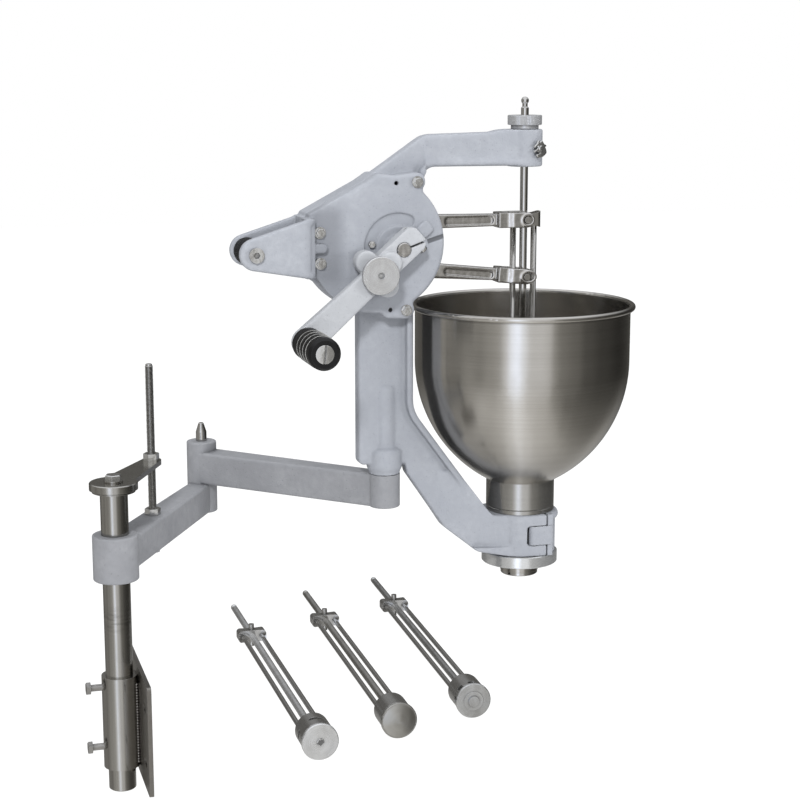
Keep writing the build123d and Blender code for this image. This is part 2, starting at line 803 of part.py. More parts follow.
def head_frame():
    outline = frame_outline()
    space = throat_outline()
    rim = (offset(space, flange_thickness) & outline) - space
    casting = outline - space
    yoke_low = yoke_top - yoke_height
    frame = soft_slab(casting, -web_half, web_half, cast_edge)
    frame += soft_slab(rim, -flange_half, flange_half, flange_round)
    frame += arm_flare(casting, guide_flare, web_half, guide_radius, throat_top[1] - guide_radius, guide_top)
    frame += bar_z(2 * guide_radius, guide_top - guide_height, guide_top, throat)
    frame += pin_socket()
    frame += arm_flare(casting, yoke_flare, web_half, yoke_radius, yoke_low, 0.0)
    frame += arm_flare(casting, yoke_flare, plinth_half, yoke_radius, yoke_low, yoke_low + plinth_height)
    frame += yoke()
    case = slab(joint_profile(), case_joint, case_back)
    frame += fillet(case.faces().sort_by(Axis.Y)[-1].edges(), case_edge)
    frame += ear(far_ear_front, case_back)
    frame += ear_foot(case_joint, case_back - cast_edge)
    frame -= slab(case_profile(case_wall), case_joint, case_back - case_skin)
    frame -= slab(case_profile(case_wall), -web_half, case_joint)
    frame += bosses(tail_bolt_places, bolt_boss_diameter, case_joint, case_back - 1.0)
    frame += bosses((upper_pivot, lower_pivot), pivot_boss_diameter, lever_half + face_gap, case_back - 1.0)
    frame += bar_y(shaft_boss_diameter, lever_half + 4.0, case_back, shaft_place)
    frame -= slab(joint_profile(), -web_half - flange_half, case_joint)
    frame -= bosses(cover_bolt_places, cover_bolt_diameter + 2 * thread_gap, case_joint, case_joint + bolt_depth)
    frame -= bosses(dowel_places, dowel_diameter + 2 * thread_gap, case_joint, case_joint + dowel_length / 2)
    frame -= bosses((upper_pivot, lower_pivot), lever_pivot_diameter + 2 * thread_gap, 0, pivot_end)
    frame -= bar_y(bush_diameter + 2 * thread_gap, 0, case_back, shaft_place)
    frame -= bar_y(grip_bolt_diameter + 2 * thread_gap, far_ear_front, case_back, ear_centre)
    frame -= lever_windows()
    frame -= yoke_hollow()
    frame -= bar_z(hinge_pin_diameter + 2 * running_gap, 0, socket_depth)
    frame -= bar_z(guide_bush_diameter + 2 * thread_gap, guide_top - guide_height, guide_top, throat)
    frame -= wing_screw_at() * bar_x(wing_screw_diameter + 2 * thread_gap, 0, 2 * guide_radius)
    return head_at * frame


def side_cover():
    cover = slab(joint_profile(), cover_front, case_joint)
    cover = fillet(cover.faces().sort_by(Axis.Y)[0].edges(), cover_edge)
    cover -= tail_hollow()
    cover += ear(ear_front, ear_front + ear_thickness)
    cover += ear_foot(ear_front + cast_edge, case_joint)
    cover += ear_rib()
    cover -= slab(case_profile(case_wall), cover_front + cover_skin, case_joint)
    cover += bosses(tail_bolt_places, bolt_boss_diameter, tail_front, case_joint)
    cover += bosses((upper_pivot, lower_pivot), pivot_boss_diameter, tail_front + 1.0, case_joint)
    cover += bar_y(shaft_boss_diameter, shaft_boss_front, cam_front - face_gap, shaft_place)
    pad = fillet(Rectangle(stop_pad_size, stop_pad_size).vertices(), stop_pad_corner)
    pad = Pos(*stop_pad_place) * Rot(0, 0, stop_pad_turn) * pad
    cover += slab(pad, cover_front - stop_pad_height, cover_front + 1.0)
    arc = CenterArc((0, 0), recess_radius, recess_start, recess_end - recess_start)
    crescent = trace(arc, recess_width)
    for angle in (recess_start, recess_end):
        crescent += dot(polar(angle, recess_radius), recess_width / 2)
    cover -= slab(Pos(*shaft_place) * crescent, cover_front, cover_front + recess_depth)
    mark = Pos(*index_mark_place) * Rot(0, 0, index_mark_angle) * Rectangle(index_mark_length, index_mark_width)
    cover -= slab(mark, cover_front, cover_front + recess_depth / 2)
    cover -= bosses(cover_bolt_places, cover_bolt_diameter + 2 * sliding_gap, ear_front, case_joint)
    cover -= bosses(dowel_places, dowel_diameter + 2 * thread_gap, cover_front, case_joint)
    cover -= bosses((upper_pivot, lower_pivot), lever_pivot_diameter + 2 * thread_gap, -pivot_end, case_joint)
    cover -= bar_y(bush_diameter + 2 * thread_gap, shaft_boss_front, cam_front, shaft_place)
    cover -= bar_y(stop_bolt_diameter + 2 * thread_gap, cover_front, cam_front, stop_bolt_place)
    cover -= bar_y(grip_bolt_diameter + 2 * thread_gap, ear_front, ear_front + ear_thickness, ear_centre)
    return head_at * cover


def facing_front(shape, place, front):
    """Sets a screw, built head up on z = 0, with its head towards the front."""
    return head_at * Pos(place[0], front, place[1]) * Rot(90, 0, 0) * shape


def cover_washers():
    ring = bar_z(cover_washer_diameter, 0, cover_washer_height)
    ring -= bar_z(cover_bolt_diameter + 2 * thread_gap, 0, cover_washer_height)
    rings = [facing_front(ring, place, tail_front) for place in tail_bolt_places]
    return rings + [facing_front(ring, place, cover_front) for place in drum_bolt_places]


def cover_bolt(place, face):
    seat = face - cover_washer_height
    bolt = hex_bolt(cover_bolt_diameter, 10.0, 4.2, case_joint + bolt_depth - 1.0 - seat)
    return facing_front(bolt, place, seat)


def cover_bolts():
    bolts = [cover_bolt(place, tail_front) for place in tail_bolt_places]
    return bolts + [cover_bolt(place, cover_front) for place in drum_bolt_places]


def cover_dowels():
    front = case_joint - dowel_length / 2
    return [head_at * bar_y(dowel_diameter, front, front + dowel_length, place) for place in dowel_places]


def stop_bolt():
    seat = cover_front + recess_depth
    return facing_front(hex_bolt(stop_bolt_diameter, 8.0, 4.0, cover_skin), stop_bolt_place, seat)


def lever_pivots():
    return [head_at * bar_y(lever_pivot_diameter, -pivot_end, pivot_end, place) for place in (upper_pivot, lower_pivot)]


def shaft_bush(front, back):
    bush = bar_y(bush_diameter, front, back) - bar_y(shaft_diameter + 2 * running_gap, front, back)
    return head_at * shaft_at * bush


def camshaft_bushes():
    return [shaft_bush(shaft_boss_front, cam_front - face_gap), shaft_bush(lever_half + 4.0, case_back)]


# Camshaft, cam and crank

def camshaft():
    shaft = chamfer(bar_y(shaft_diameter, shaft_front, case_back - 2.0).edges(), 1.0)
    shaft -= slab(Pos(key_middle, 0) * Rectangle(key_width, key_width), shaft_front, crank_hub_back)
    return head_at * crank_at * shaft


def shaft_key():
    key = slab(Pos(key_middle, 0) * Rectangle(key_width, key_width), shaft_front + 2.0, crank_hub_back)
    return head_at * crank_at * key


def roller_path(radius, start, radius_change):
    """Points of a cam track's centre line, evenly spread over the crank's swing."""
    points = []
    for step in range(9):
        share = step / 8
        points.append(polar(start + crank_swing * share, radius + radius_change * share))
    return points


def cam_track(points):
    width = roller_diameter + 2 * track_gap
    track = trace(Spline(points), width)
    for end in (points[0], points[-1]):
        track += dot(end, width / 2)
    return slab(track, cam_back - track_depth, cam_back)


def cam_disc():
    share = (shaft_place[0] - pivot_x) / (throat - pivot_x)
    upper_radius = drive_height - shaft_place[1]
    lower_radius = shaft_place[1] - lower_pivot_height - (block_drive - lower_pivot_height) * share
    disc = bar_y(2 * cam_radius, cam_front, cam_back)
    disc = chamfer(disc.edges(), 0.8)
    disc -= bar_y(shaft_diameter + 2 * thread_gap, cam_front, cam_back)
    disc -= cam_track(roller_path(upper_radius, 90.0, -share * sleeve_stroke))
    disc -= cam_track(roller_path(lower_radius, 270.0, share * disc_stroke))
    return head_at * shaft_at * disc


def crank():
    hub_outline = Pos((crank_bar_place - crank_hub_tail) / 2, 0) * Rectangle(
        crank_bar_place + crank_hub_tail, crank_hub_width)
    hub_outline = chamfer(hub_outline.vertices().group_by(Axis.X)[0], 7.0)
    bar_outline = Pos(crank_bar_place, 0) * Rot(0, 0, 90) * SlotOverall(crank_bar_length, crank_arm_width)
    arm_outline = strap((crank_bar_place - 20.0, 0), crank_arm_width / 2, (crank_radius, 0), crank_end_radius)
    lever = slab(hub_outline, crank_hub_front, crank_hub_back)
    lever += soft_slab(bar_outline, crank_hub_front, crank_hub_back, cast_edge)
    lever += soft_slab(arm_outline, crank_arm_front, crank_arm_back, cast_edge)
    lever -= slab(Rot(0, 0, slit_angle) * Rectangle(60.0, hub_slit, align=(Align.MIN, Align.CENTER)),
                  crank_arm_front, crank_hub_back)
    lever -= bar_y(shaft_diameter + 2 * thread_gap, crank_arm_front, crank_hub_back)
    lever -= slab(Pos(key_middle, 0) * Rectangle(key_width + 2 * thread_gap, key_width + 2 * thread_gap),
                  crank_hub_front, crank_hub_back)
    lever -= bar_y(knob_stem_diameter + 2 * running_gap, crank_arm_front, crank_hub_back, (crank_bar_place, 0))
    lever -= bar_y(grip_bolt_diameter + 2 * thread_gap, crank_arm_front, crank_arm_back, (crank_radius, 0))
    lever -= clamp_screw_place() * bar_z(clamp_screw_diameter + 2 * thread_gap, -crank_hub_width, 0)
    return head_at * crank_at * lever


def clamp_screw_place():
    return Pos(clamp_screw_x, (crank_hub_front + crank_hub_back) / 2, crank_hub_width / 2)


def clamp_screw():
    screw = hex_bolt(clamp_screw_diameter, 9.0, 4.5, crank_hub_width - 4.0)
    return head_at * crank_at * clamp_screw_place() * screw


def index_knob():
    disc_back = crank_arm_front - knob_gap
    disc_front = disc_back - knob_thickness
    knob = bar_y(knob_diameter, disc_front, disc_back, (crank_bar_place, 0))
    knob = chamfer(knob.edges(), 0.8)
    knob += bar_y(knob_stem_diameter, disc_back, crank_hub_back, (crank_bar_place, 0))
    knob -= bar_y(knob_stem_diameter - 2.0, disc_front, disc_front + 3.0, (crank_bar_place, 0))
    return head_at * crank_at * knob


def ribbed_grip(diameter, length, bore, ribs, groove):
    """Rubber grip along Z with ring grooves and rounded ends."""
    radius = diameter / 2
    pitch = length / (ribs + 1)
    points = [(bore, 0), (radius - 3.0, 0), (radius, 3.0)]
    for rib in range(1, ribs + 1):
        middle = rib * pitch
        points += [(radius, middle - 2.0), (radius - groove, middle - 1.0)]
        points += [(radius - groove, middle + 1.0), (radius, middle + 2.0)]
    points += [(radius, length - 3.0), (radius - 3.0, length), (bore, length)]
    return turned(points)


def crank_grip():
    bore = grip_bolt_diameter / 2 + running_gap
    grip = ribbed_grip(grip_diameter, grip_length, bore, grip_rib_count, grip_groove)
    grip -= bar_z(grip_screw_head + 2 * clear_gap, grip_length - grip_screw_depth, grip_length)
    place = Pos(crank_radius, crank_arm_front - face_gap, 0) * Rot(90, 0, 0)
    return head_at * crank_at * place * grip


def grip_screw():
    seat = grip_length - grip_screw_depth + 2 * face_gap
    screw = bar_z(grip_screw_head, seat, seat + grip_screw_depth)
    screw -= Pos(0, 0, seat + grip_screw_depth) * Box(grip_screw_head, 3.0, 4.0)
    screw += bar_z(grip_bolt_diameter, crank_arm_front - crank_arm_back, seat)
    place = Pos(crank_radius, crank_arm_front - face_gap, 0) * Rot(90, 0, 0)
    return head_at * crank_at * place * screw


def rear_grip():
    length = far_ear_front - ear_front - ear_thickness - 2 * clear_gap
    grip = ribbed_grip(rear_grip_diameter, length, grip_bolt_diameter / 2 + running_gap, 6, grip_groove)
    return head_at * Pos(ear_centre[0], far_ear_front - clear_gap, ear_centre[1]) * Rot(90, 0, 0) * grip


def rear_grip_bolt():
    bolt = bar_z(18.0, 0, 4.0) - extrude(RegularPolygon(4.0, 6), 4.0)
    bolt += bar_z(grip_bolt_diameter, ear_front - case_back, 0)
    return facing_front(bolt, ear_centre, ear_front)


# Levers

def lever(pivot, stud_height):
    """Forked lever from its pivot to a drive stud on the plunger axis."""
    rise = stud_height - pivot[1]
    reach = throat - pivot[0]
    length = hypot(reach, rise)
    block_start = length - fork_root
    mouth = case_centre[0] + case_radius - pivot[0]
    roller_x = (shaft_place[0] - pivot[0]) * length / reach
    bar_profile = polygon(
        (0, -lever_height / 2 - 2.0), (mouth, -lever_height / 2), (block_start + 4.0, -lever_height / 2 + 1.0),
        (block_start + 4.0, lever_height / 2 - 1.0), (mouth, lever_height / 2), (0, lever_height / 2 + 2.0),
    )
    body = soft_slab(bar_profile, -lever_half, lever_half, 2.0)
    body += bar_y(2 * lever_eye_radius, -lever_half, lever_half)
    fork_profile = Pos(block_start, 0) * Rectangle(fork_root, fork_height, align=(Align.MIN, Align.CENTER))
    fork_profile += dot((length, 0), fork_height / 2)
    fork = soft_slab(fork_profile, -fork_half, fork_half, 1.5)
    for side in (-1, 1):
        cheek = polygon(
            (0, side * fork_block_half), (length - fork_shoulder - fork_ramp, side * fork_block_half),
            (length - fork_shoulder, side * fork_half), (length - fork_shoulder, 2 * side * fork_half),
            (0, 2 * side * fork_half),
        )
        fork -= plan(cheek, -fork_height, fork_height)
    body += fork
    gap = Pos(length - fork_crotch, 0) * Rectangle(2 * fork_root, 2 * fork_height, align=(Align.MIN, Align.CENTER))
    body -= slab(gap, -fork_gap_half, fork_gap_half)
    slot_width = stud_diameter + fork_slot_gap
    slot = Rectangle(2 * fork_root, slot_width, align=(Align.MIN, Align.CENTER)) + Circle(slot_width / 2)
    body -= slab(Pos(length - 0.5, 0) * slot, -fork_half, fork_half)
    flank_length = block_start - mouth - 14.0
    flank = Pos(mouth + 9.0 + flank_length / 2, 0) * SlotOverall(flank_length, flank_height)
    body -= slab(flank, -lever_half, -lever_half + flank_recess)
    body -= slab(flank, lever_half - flank_recess, lever_half)
    body -= bar_y(lever_pivot_diameter + 2 * running_gap, -lever_half, lever_half)
    body += bar_y(roller_pin_diameter, roller_front, -lever_half, (roller_x, 0))
    return head_at * Pos(pivot[0], 0, pivot[1]) * Rot(0, -degrees(atan2(rise, reach)), 0) * body


def cam_roller(pivot, stud_height):
    rise = (stud_height - pivot[1]) * (shaft_place[0] - pivot[0]) / (throat - pivot[0])
    ring = bar_y(roller_diameter, roller_front, cam_back) - bar_y(
        roller_pin_diameter + 2 * thread_gap, roller_front, cam_back)
    return head_at * Pos(shaft_place[0], 0, pivot[1] + rise) * ring


def upper_lever():
    return lever(upper_pivot, drive_height)


def lower_lever():
    return lever(lower_pivot, block_drive)


def upper_roller():
    return cam_roller(upper_pivot, drive_height)


def lower_roller():
    return cam_roller(lower_pivot, block_drive)


# Plungers, about their own axis, heights as in the head

def crosshead_body():
    half = crosshead_width / 2
    tall = crosshead_height / 2
    waist = crosshead_waist / 2
    top = ThreePointArc((-half, tall), (0, waist), (half, tall))
    bottom = ThreePointArc((half, -tall), (0, -waist), (-half, -tall))
    ends = [Line((half, tall), (half, -tall)), Line((-half, -tall), (-half, tall))]
    block = slab(make_face([top, ends[0], bottom, ends[1]]), -crosshead_depth / 2, crosshead_depth / 2)
    block = fillet(block.edges().filter_by(Axis.Z), 5.0)
    block -= bar_z(rod_diameter + 2 * running_gap, -tall, tall)
    for side in (-1, 1):
        x = side * side_rod_pitch / 2
        block -= bar_z(side_rod_diameter + 2 * thread_gap, -tall, rod_seat, x)
    block -= bar_y(stud_thread + 2 * thread_gap, -crosshead_depth / 2, crosshead_depth / 2)
    return Pos(0, 0, drive_height) * block


def drive_stud():
    """Stud on the front of the crosshead, screwed in short of the centre rod."""
    inner = rod_diameter / 2 + clear_gap
    stud = bar_y(stud_diameter, -stud_reach, -crosshead_depth / 2)
    return Pos(0, 0, drive_height) * (stud + bar_y(stud_thread, -crosshead_depth / 2, -inner))


def drive_studs():
    return [drive_stud(), Rot(0, 0, 180) * drive_stud()]


def side_rods(grow=0.0):
    low = disc_top + sleeve_lift + cutter_height - cutter_crown + 1.0
    high = drive_height + rod_seat - 0.2
    return [bar_z(side_rod_diameter + grow, low, high, side * side_rod_pitch / 2) for side in (-1, 1)]


def cutter_body(ports):
    low = disc_top + sleeve_lift
    high = low + cutter_height
    radius = nozzle_radius - nozzle_wall - running_gap
    body = turned([
        (rod_diameter / 2 + running_gap, high - cutter_crown), (radius - cutter_wall, high - cutter_crown),
        (radius - cutter_wall, low + 1.5), (radius - 0.6, low), (radius, low), (radius, high - 1.5),
        (radius - 1.5, high), (rod_diameter / 2 + running_gap, high),
    ])
    for side in (-1, 1):
        x = side * side_rod_pitch / 2
        body -= bar_z(side_rod_diameter + 2 * thread_gap, high - cutter_crown + 1.0, high, x)
    for turn in range(ports):
        opening = SlotOverall(port_width, port_height)
        cut = extrude(Plane.XZ * opening, 2 * radius)
        body -= Rot(0, 0, 360.0 * turn / ports) * Pos(0, 0, low + cutter_height * 0.45) * cut
    return body


def rod_body():
    low = disc_top - 2.5
    radius = rod_diameter / 2
    ball = ball_diameter / 2
    neck = ball_neck_diameter / 2
    rod = turned([
        (0, low), (radius, low), (radius, plunger_top - 2 * ball - 4.0), (neck, plunger_top - 2 * ball - 2.5),
        (neck, plunger_top - ball), (0, plunger_top - ball),
    ])
    return rod + Pos(0, 0, plunger_top - ball) * Sphere(ball)


def disc_body():
    low = disc_top - disc_thickness
    radius = disc_diameter / 2
    disc = turned([(0, low), (radius - 1.0, low), (radius, low + 1.0), (radius, disc_top), (0, disc_top)])
    return disc - bar_z(rod_diameter + 2 * thread_gap, disc_top - 2.5, disc_top)


def block_body():
    block = Box(block_width, block_depth, block_height)
    block = fillet(block.edges().filter_by(Axis.Z), 3.0)
    block += bar_y(stud_diameter, -stud_reach, stud_reach)
    block -= bar_z(rod_diameter + 2 * thread_gap, -block_height / 2, block_height / 2)
    return Pos(0, 0, block_drive) * block


def at_plunger(shape):
    if isinstance(shape, list):
        return [head_at * plunger_at * piece for piece in shape]
    return head_at * plunger_at * shape


def crosshead():
    return at_plunger(crosshead_body())


def crosshead_studs():
    return at_plunger(drive_studs())


def cutter_rods():
    return at_plunger(side_rods())


def cutter_sleeve():
    return at_plunger(cutter_body(4))


def centre_rod():
    return at_plunger(rod_body())


def rod_block():
    return at_plunger(block_body())


def cutter_disc():
    return at_plunger(disc_body())


def spare_at(index):
    """Lays a plunger on the plane of the column's foot, disc towards the front."""
    span = drive_height - disc_top + stud_diameter / 2
    tilt = degrees(atan2(disc_diameter / 2 - stud_reach, span))
    height = column_foot + disc_diameter / 2 * cos(radians(tilt)) + disc_thickness * sin(radians(tilt))
    x = spare_first[0] + index * spare_step[0]
    y = spare_first[1] + index * spare_step[1]
    lay = Rot(0, 0, -spare_yaw - index * spare_yaw_step) * Rot(-90 - tilt, 0, 0)
    return Pos(x, y, height) * lay * Pos(0, 0, disc_thickness - disc_top)


def spare_sleeve(index, ports):
    piece = crosshead_body() + drive_studs() + side_rods(2 * thread_gap) + cutter_body(ports)
    return spare_at(index) * piece


def spare_disc(index, head):
    return spare_at(index) * (rod_body() + disc_body() + head)


def spare_sleeve_1():
    return spare_sleeve(0, 4)


def spare_sleeve_2():
    return spare_sleeve(1, 0)


def spare_sleeve_3():
    low = disc_top + sleeve_lift
    piece = crosshead_body() + drive_studs() + side_rods(2 * thread_gap) + cutter_body(0)
    for turn in range(star_teeth):
        notch = Pos(nozzle_radius - nozzle_wall, 0, low) * Rot(0, 0, 45) * Box(star_notch, star_notch, 2 * star_depth)
        piece -= Rot(0, 0, 360.0 * turn / star_teeth) * notch
    return spare_at(2) * piece


def spare_disc_1():
    low = disc_top - disc_thickness
    return spare_disc(0, bar_z(star_screw_diameter, low - 1.0, low))


def spare_disc_2():
    low = disc_top - disc_thickness
    radius = disc_diameter / 2 - 2.0
    sphere_radius = (radius ** 2 + dome_height ** 2) / (2 * dome_height)
    dome = Pos(0, 0, low + sphere_radius - dome_height) * Sphere(sphere_radius)
    dome &= bar_z(2 * radius, low - dome_height, low + 1.0)
    return spare_disc(1, dome)


def spare_disc_3():
    low = disc_top - disc_thickness
    boss = turned([(0, low), (13.0, low), (13.0, low - 0.8), (7.0, low - 0.8), (7.0, low - 3.0), (0, low - 3.0)])
    return spare_disc(2, boss)


# Guide on top of the frame

def guide_bush():
    low = guide_top - guide_height
    bush = bar_z(guide_bush_diameter, low, guide_top) - bar_z(rod_diameter + 2 * running_gap, low, guide_top)
    bush -= Pos(0, 0, guide_top - wing_screw_drop) * Rot(0, 0, wing_screw_angle) * bar_x(
        wing_screw_diameter + 2 * thread_gap, rod_diameter / 2 + 2.0, guide_bush_diameter)
    return at_plunger(bush)


def guide_collar():
    low = guide_top + face_gap
    collar = bar_z(collar_neck_diameter, low, low + collar_neck_height)
    wheel = Circle(collar_diameter / 2)
    for tooth in range(knurl_count):
        wheel -= dot(polar(360.0 * tooth / knurl_count, collar_diameter / 2 + 0.4), knurl_depth + 0.4)
    start = low + collar_neck_height
    collar += plan(wheel, start, start + collar_height)
    collar -= bar_z(rod_diameter + 2 * running_gap, low, start + collar_height)
    return at_plunger(collar)


def wing_screw():
    tip = guide_bush_diameter / 2 - 1.5
    screw = bar_x(wing_screw_diameter, tip, guide_radius + 2.0)
    cross = Rectangle(wing_span, wing_lobe) + Rectangle(wing_lobe, wing_span)
    cross = fillet(cross.vertices(), 1.4)
    screw += extrude(Plane.YZ.offset(guide_radius + 1.5) * cross, wing_thickness)
    return head_at * wing_screw_at() * screw


# Hopper, nozzle and gate

def bowl_height(radius, wall):
    """Height at which the bowl's arc, thinned by a wall, reaches a radius."""
    centre = bowl_radius - bowl_arc_radius
    return bowl_arc_top - sqrt((bowl_arc_radius - wall) ** 2 - (radius - centre) ** 2)


def bowl_arc(start, wall, end_height):
    """Arc of the bowl's side from the straight wall down to a height."""
    centre = bowl_radius - bowl_arc_radius
    radius = bowl_arc_radius - wall
    drop = atan2(bowl_arc_top - end_height, sqrt(radius ** 2 - (bowl_arc_top - end_height) ** 2))
    middle = (centre + radius * cos(drop / 2), bowl_arc_top - radius * sin(drop / 2))
    end = (centre + radius * cos(drop), end_height)
    return ThreePointArc(start, middle, end)


def hopper_bowl():
    """Spun bowl with a rolled rim, welded onto the neck."""
    seam = bowl_height(neck_radius, 0.0)
    wall_top = rim_height - rim_lip
    inside = bowl_radius - bowl_wall
    outer = bowl_arc((bowl_radius, bowl_arc_top), 0.0, seam)
    inner = bowl_arc((inside, bowl_arc_top), bowl_wall, seam)
    sides = [
        outer, Line(outer @ 1, inner @ 1), inner,
        Line((inside, bowl_arc_top), (inside, wall_top)), Line((inside, wall_top), (bowl_radius, wall_top)),
        Line((bowl_radius, wall_top), (bowl_radius, bowl_arc_top)),
    ]
    shell = revolve(Plane.XZ * make_face(sides), Axis.Z)
    rim = Plane.XZ * (Pos(rim_radius - rim_lip, wall_top) * Circle(rim_lip))
    return at_plunger(shell + revolve(rim, Axis.Z))


def hopper_neck():
    """Turned neck that stands on the yoke, with the spigot for the nozzle nut."""
    seam = bowl_height(neck_radius, 0.0)
    inside = neck_radius - neck_wall
    low = yoke_top + face_gap
    foot = low + neck_foot
    bore = nozzle_radius + thread_gap
    return at_plunger(turned([
        (bore, spigot_low), (spigot_radius, spigot_low), (spigot_radius, low), (neck_radius, low),
        (neck_radius, foot - neck_groove), (neck_radius - neck_groove, foot),
        (neck_radius, foot + neck_groove), (neck_radius, seam), (inside, seam),
        (inside, low + base_thickness), (bore, low + base_thickness),
    ]))


def nozzle_tube():
    tube = bar_z(2 * nozzle_radius, nozzle_lip, nozzle_top)
    return at_plunger(tube - bar_z(2 * (nozzle_radius - nozzle_wall), nozzle_lip, nozzle_top))


def nozzle_nut():
    high = yoke_top - yoke_height - face_gap
    low = high - nut_height
    radius = nut_diameter / 2
    bore = spigot_radius + running_gap
    nut = turned([
        (bore, high), (radius - 1.0, high), (radius, high - 1.0), (radius, low + nut_taper),
        (radius - nut_taper, low), (nozzle_radius + clear_gap, low),
        (nozzle_radius + clear_gap, spigot_low - face_gap), (bore, spigot_low - face_gap),
    ])
    return at_plunger(nut)


def yoke_gate():
    low = yoke_top - yoke_height
    start = yoke_split + gate_split_gap
    bore = spigot_radius + clear_gap
    ring = Circle(gate_radius) + Rectangle(yoke_split + 8.0, 2 * gate_radius, align=(Align.MIN, Align.CENTER))
    ring -= Circle(bore)
    ring &= Pos(start, 0) * Rectangle(gate_radius, 3 * gate_radius, align=(Align.MIN, Align.CENTER))
    top = yoke_top - face_gap
    gate = plan(ring, low + face_gap, top)
    bead_place = Pos(gate_radius + gate_bead_stand - gate_bead_radius, top - gate_bead_radius)
    bead = revolve(Plane.XZ * (bead_place * Circle(gate_bead_radius)), Axis.Z)
    gate += bead & plan(Pos(start, 0) * Rectangle(2 * gate_radius, 4 * gate_radius, align=(Align.MIN, Align.CENTER)),
                        low, yoke_top)
    knuckle = strap(hinge_place, knuckle_radius, (start + 3.0, hinge_place[1]), knuckle_radius)
    middle = yoke_top - yoke_height / 2
    gate += plan(knuckle - Circle(bore), middle - knuckle_height / 2, middle + knuckle_height / 2)
    gate -= bar_z(gate_pin_diameter + 2 * running_gap, low, yoke_top, *hinge_place)
    return at_plunger(gate)


def gate_pin():
    low = yoke_top - yoke_height
    return at_plunger(bar_z(gate_pin_diameter, low + 1.0, yoke_top - 3.2, *hinge_place))


nodes = (
    mount_plate, clamp_sleeve, set_screws, column, cap_washer, cap_bolt, lift_bracket, height_nut,
    lower_arm, lift_rod, lock_nut, elbow_pin, upper_arm, head_pin, head_frame, side_cover,
    cover_washers, cover_bolts, cover_dowels, stop_bolt, lever_pivots, camshaft_bushes, camshaft,
    shaft_key, cam_disc, crank, clamp_screw, index_knob, crank_grip, grip_screw, rear_grip,
    rear_grip_bolt, upper_lever, lower_lever, upper_roller, lower_roller, crosshead, crosshead_studs,
    cutter_rods, cutter_sleeve, centre_rod, rod_block, cutter_disc, guide_bush, guide_collar,
    wing_screw, hopper_bowl, hopper_neck, nozzle_tube, nozzle_nut, yoke_gate, gate_pin, spare_sleeve_1, spare_sleeve_2,
    spare_sleeve_3, spare_disc_1, spare_disc_2, spare_disc_3,
)

os.makedirs("parts", exist_ok=True)
for make in nodes:
    shape = make()
    if isinstance(shape, list):
        shape = Compound(children=shape)
    export_step(shape, f"parts/{make.__name__}.step")
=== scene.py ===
"""Looks of the hand-cranked donut depositor: a finish for every solid, modelled details and the studio."""
import json
import math

import bpy
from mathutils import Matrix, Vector

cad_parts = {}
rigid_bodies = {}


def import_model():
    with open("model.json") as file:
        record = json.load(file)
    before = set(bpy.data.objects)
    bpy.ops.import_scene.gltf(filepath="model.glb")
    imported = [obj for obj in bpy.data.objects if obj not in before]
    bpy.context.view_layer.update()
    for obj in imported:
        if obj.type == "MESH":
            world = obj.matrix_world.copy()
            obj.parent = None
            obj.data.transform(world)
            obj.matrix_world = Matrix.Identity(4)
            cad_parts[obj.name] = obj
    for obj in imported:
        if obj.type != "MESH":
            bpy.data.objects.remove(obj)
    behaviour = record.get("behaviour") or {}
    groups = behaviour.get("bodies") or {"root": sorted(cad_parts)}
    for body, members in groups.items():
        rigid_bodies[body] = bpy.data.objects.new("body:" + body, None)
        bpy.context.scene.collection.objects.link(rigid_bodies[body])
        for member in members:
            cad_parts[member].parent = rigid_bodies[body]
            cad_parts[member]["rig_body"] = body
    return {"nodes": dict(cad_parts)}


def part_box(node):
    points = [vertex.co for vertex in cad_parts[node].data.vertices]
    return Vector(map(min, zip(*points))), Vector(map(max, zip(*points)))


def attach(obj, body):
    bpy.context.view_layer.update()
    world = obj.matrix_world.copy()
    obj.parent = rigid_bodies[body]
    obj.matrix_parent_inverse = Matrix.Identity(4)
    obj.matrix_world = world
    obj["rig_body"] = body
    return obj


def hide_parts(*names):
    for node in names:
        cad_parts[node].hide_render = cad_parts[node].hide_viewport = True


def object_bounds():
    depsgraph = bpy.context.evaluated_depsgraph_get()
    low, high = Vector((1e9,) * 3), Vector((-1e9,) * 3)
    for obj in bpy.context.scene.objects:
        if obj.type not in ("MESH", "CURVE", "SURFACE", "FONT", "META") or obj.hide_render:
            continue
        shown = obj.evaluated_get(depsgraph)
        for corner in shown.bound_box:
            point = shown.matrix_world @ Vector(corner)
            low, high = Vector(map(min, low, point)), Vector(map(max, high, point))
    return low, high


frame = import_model()
cad_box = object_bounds()
nodes = frame["nodes"]
bpy.ops.object.select_all(action="DESELECT")

# Camera, found from the machine's own outline
camera_place = (-0.25961, -1.97795, 0.76074)
camera_azimuth = -16.26
camera_elevation = 10.88
camera_lens = 79.187
camera_sensor = 36.0

# Room that the metal mirrors: a tone at each bearing, 0 towards the machine's front, plus to its right
room_tones = (
    (-179.0, 0.06), (-150.0, 0.05), (-128.0, 0.15), (-112.0, 0.17), (-99.0, 0.12), (-87.0, 0.15),
    (-79.0, 0.17), (-65.0, 0.13), (-54.0, 0.18), (-44.0, 0.22), (-37.0, 0.42), (-30.0, 0.74),
    (-24.0, 0.84), (-18.0, 0.60), (-11.0, 0.40), (0.0, 0.41), (9.0, 0.37), (15.0, 0.19),
    (22.0, 0.125), (40.0, 0.09), (52.0, 0.05), (75.0, 0.028), (105.0, 0.014), (179.0, 0.06),
)
room_power = 1.9

# Tints of the room's dim and bright parts, and the tone and the curve by which one turns into the other
room_dim = (1.0, 0.965, 0.885)
room_bright = (0.90, 0.98, 1.16)
room_bright_tone = 0.9
room_tint_curve = 1.4

# Room overhead, and the upward slope over which it takes over from the walls
room_ceiling = 0.50
room_ceiling_slope = (0.3, 0.85)

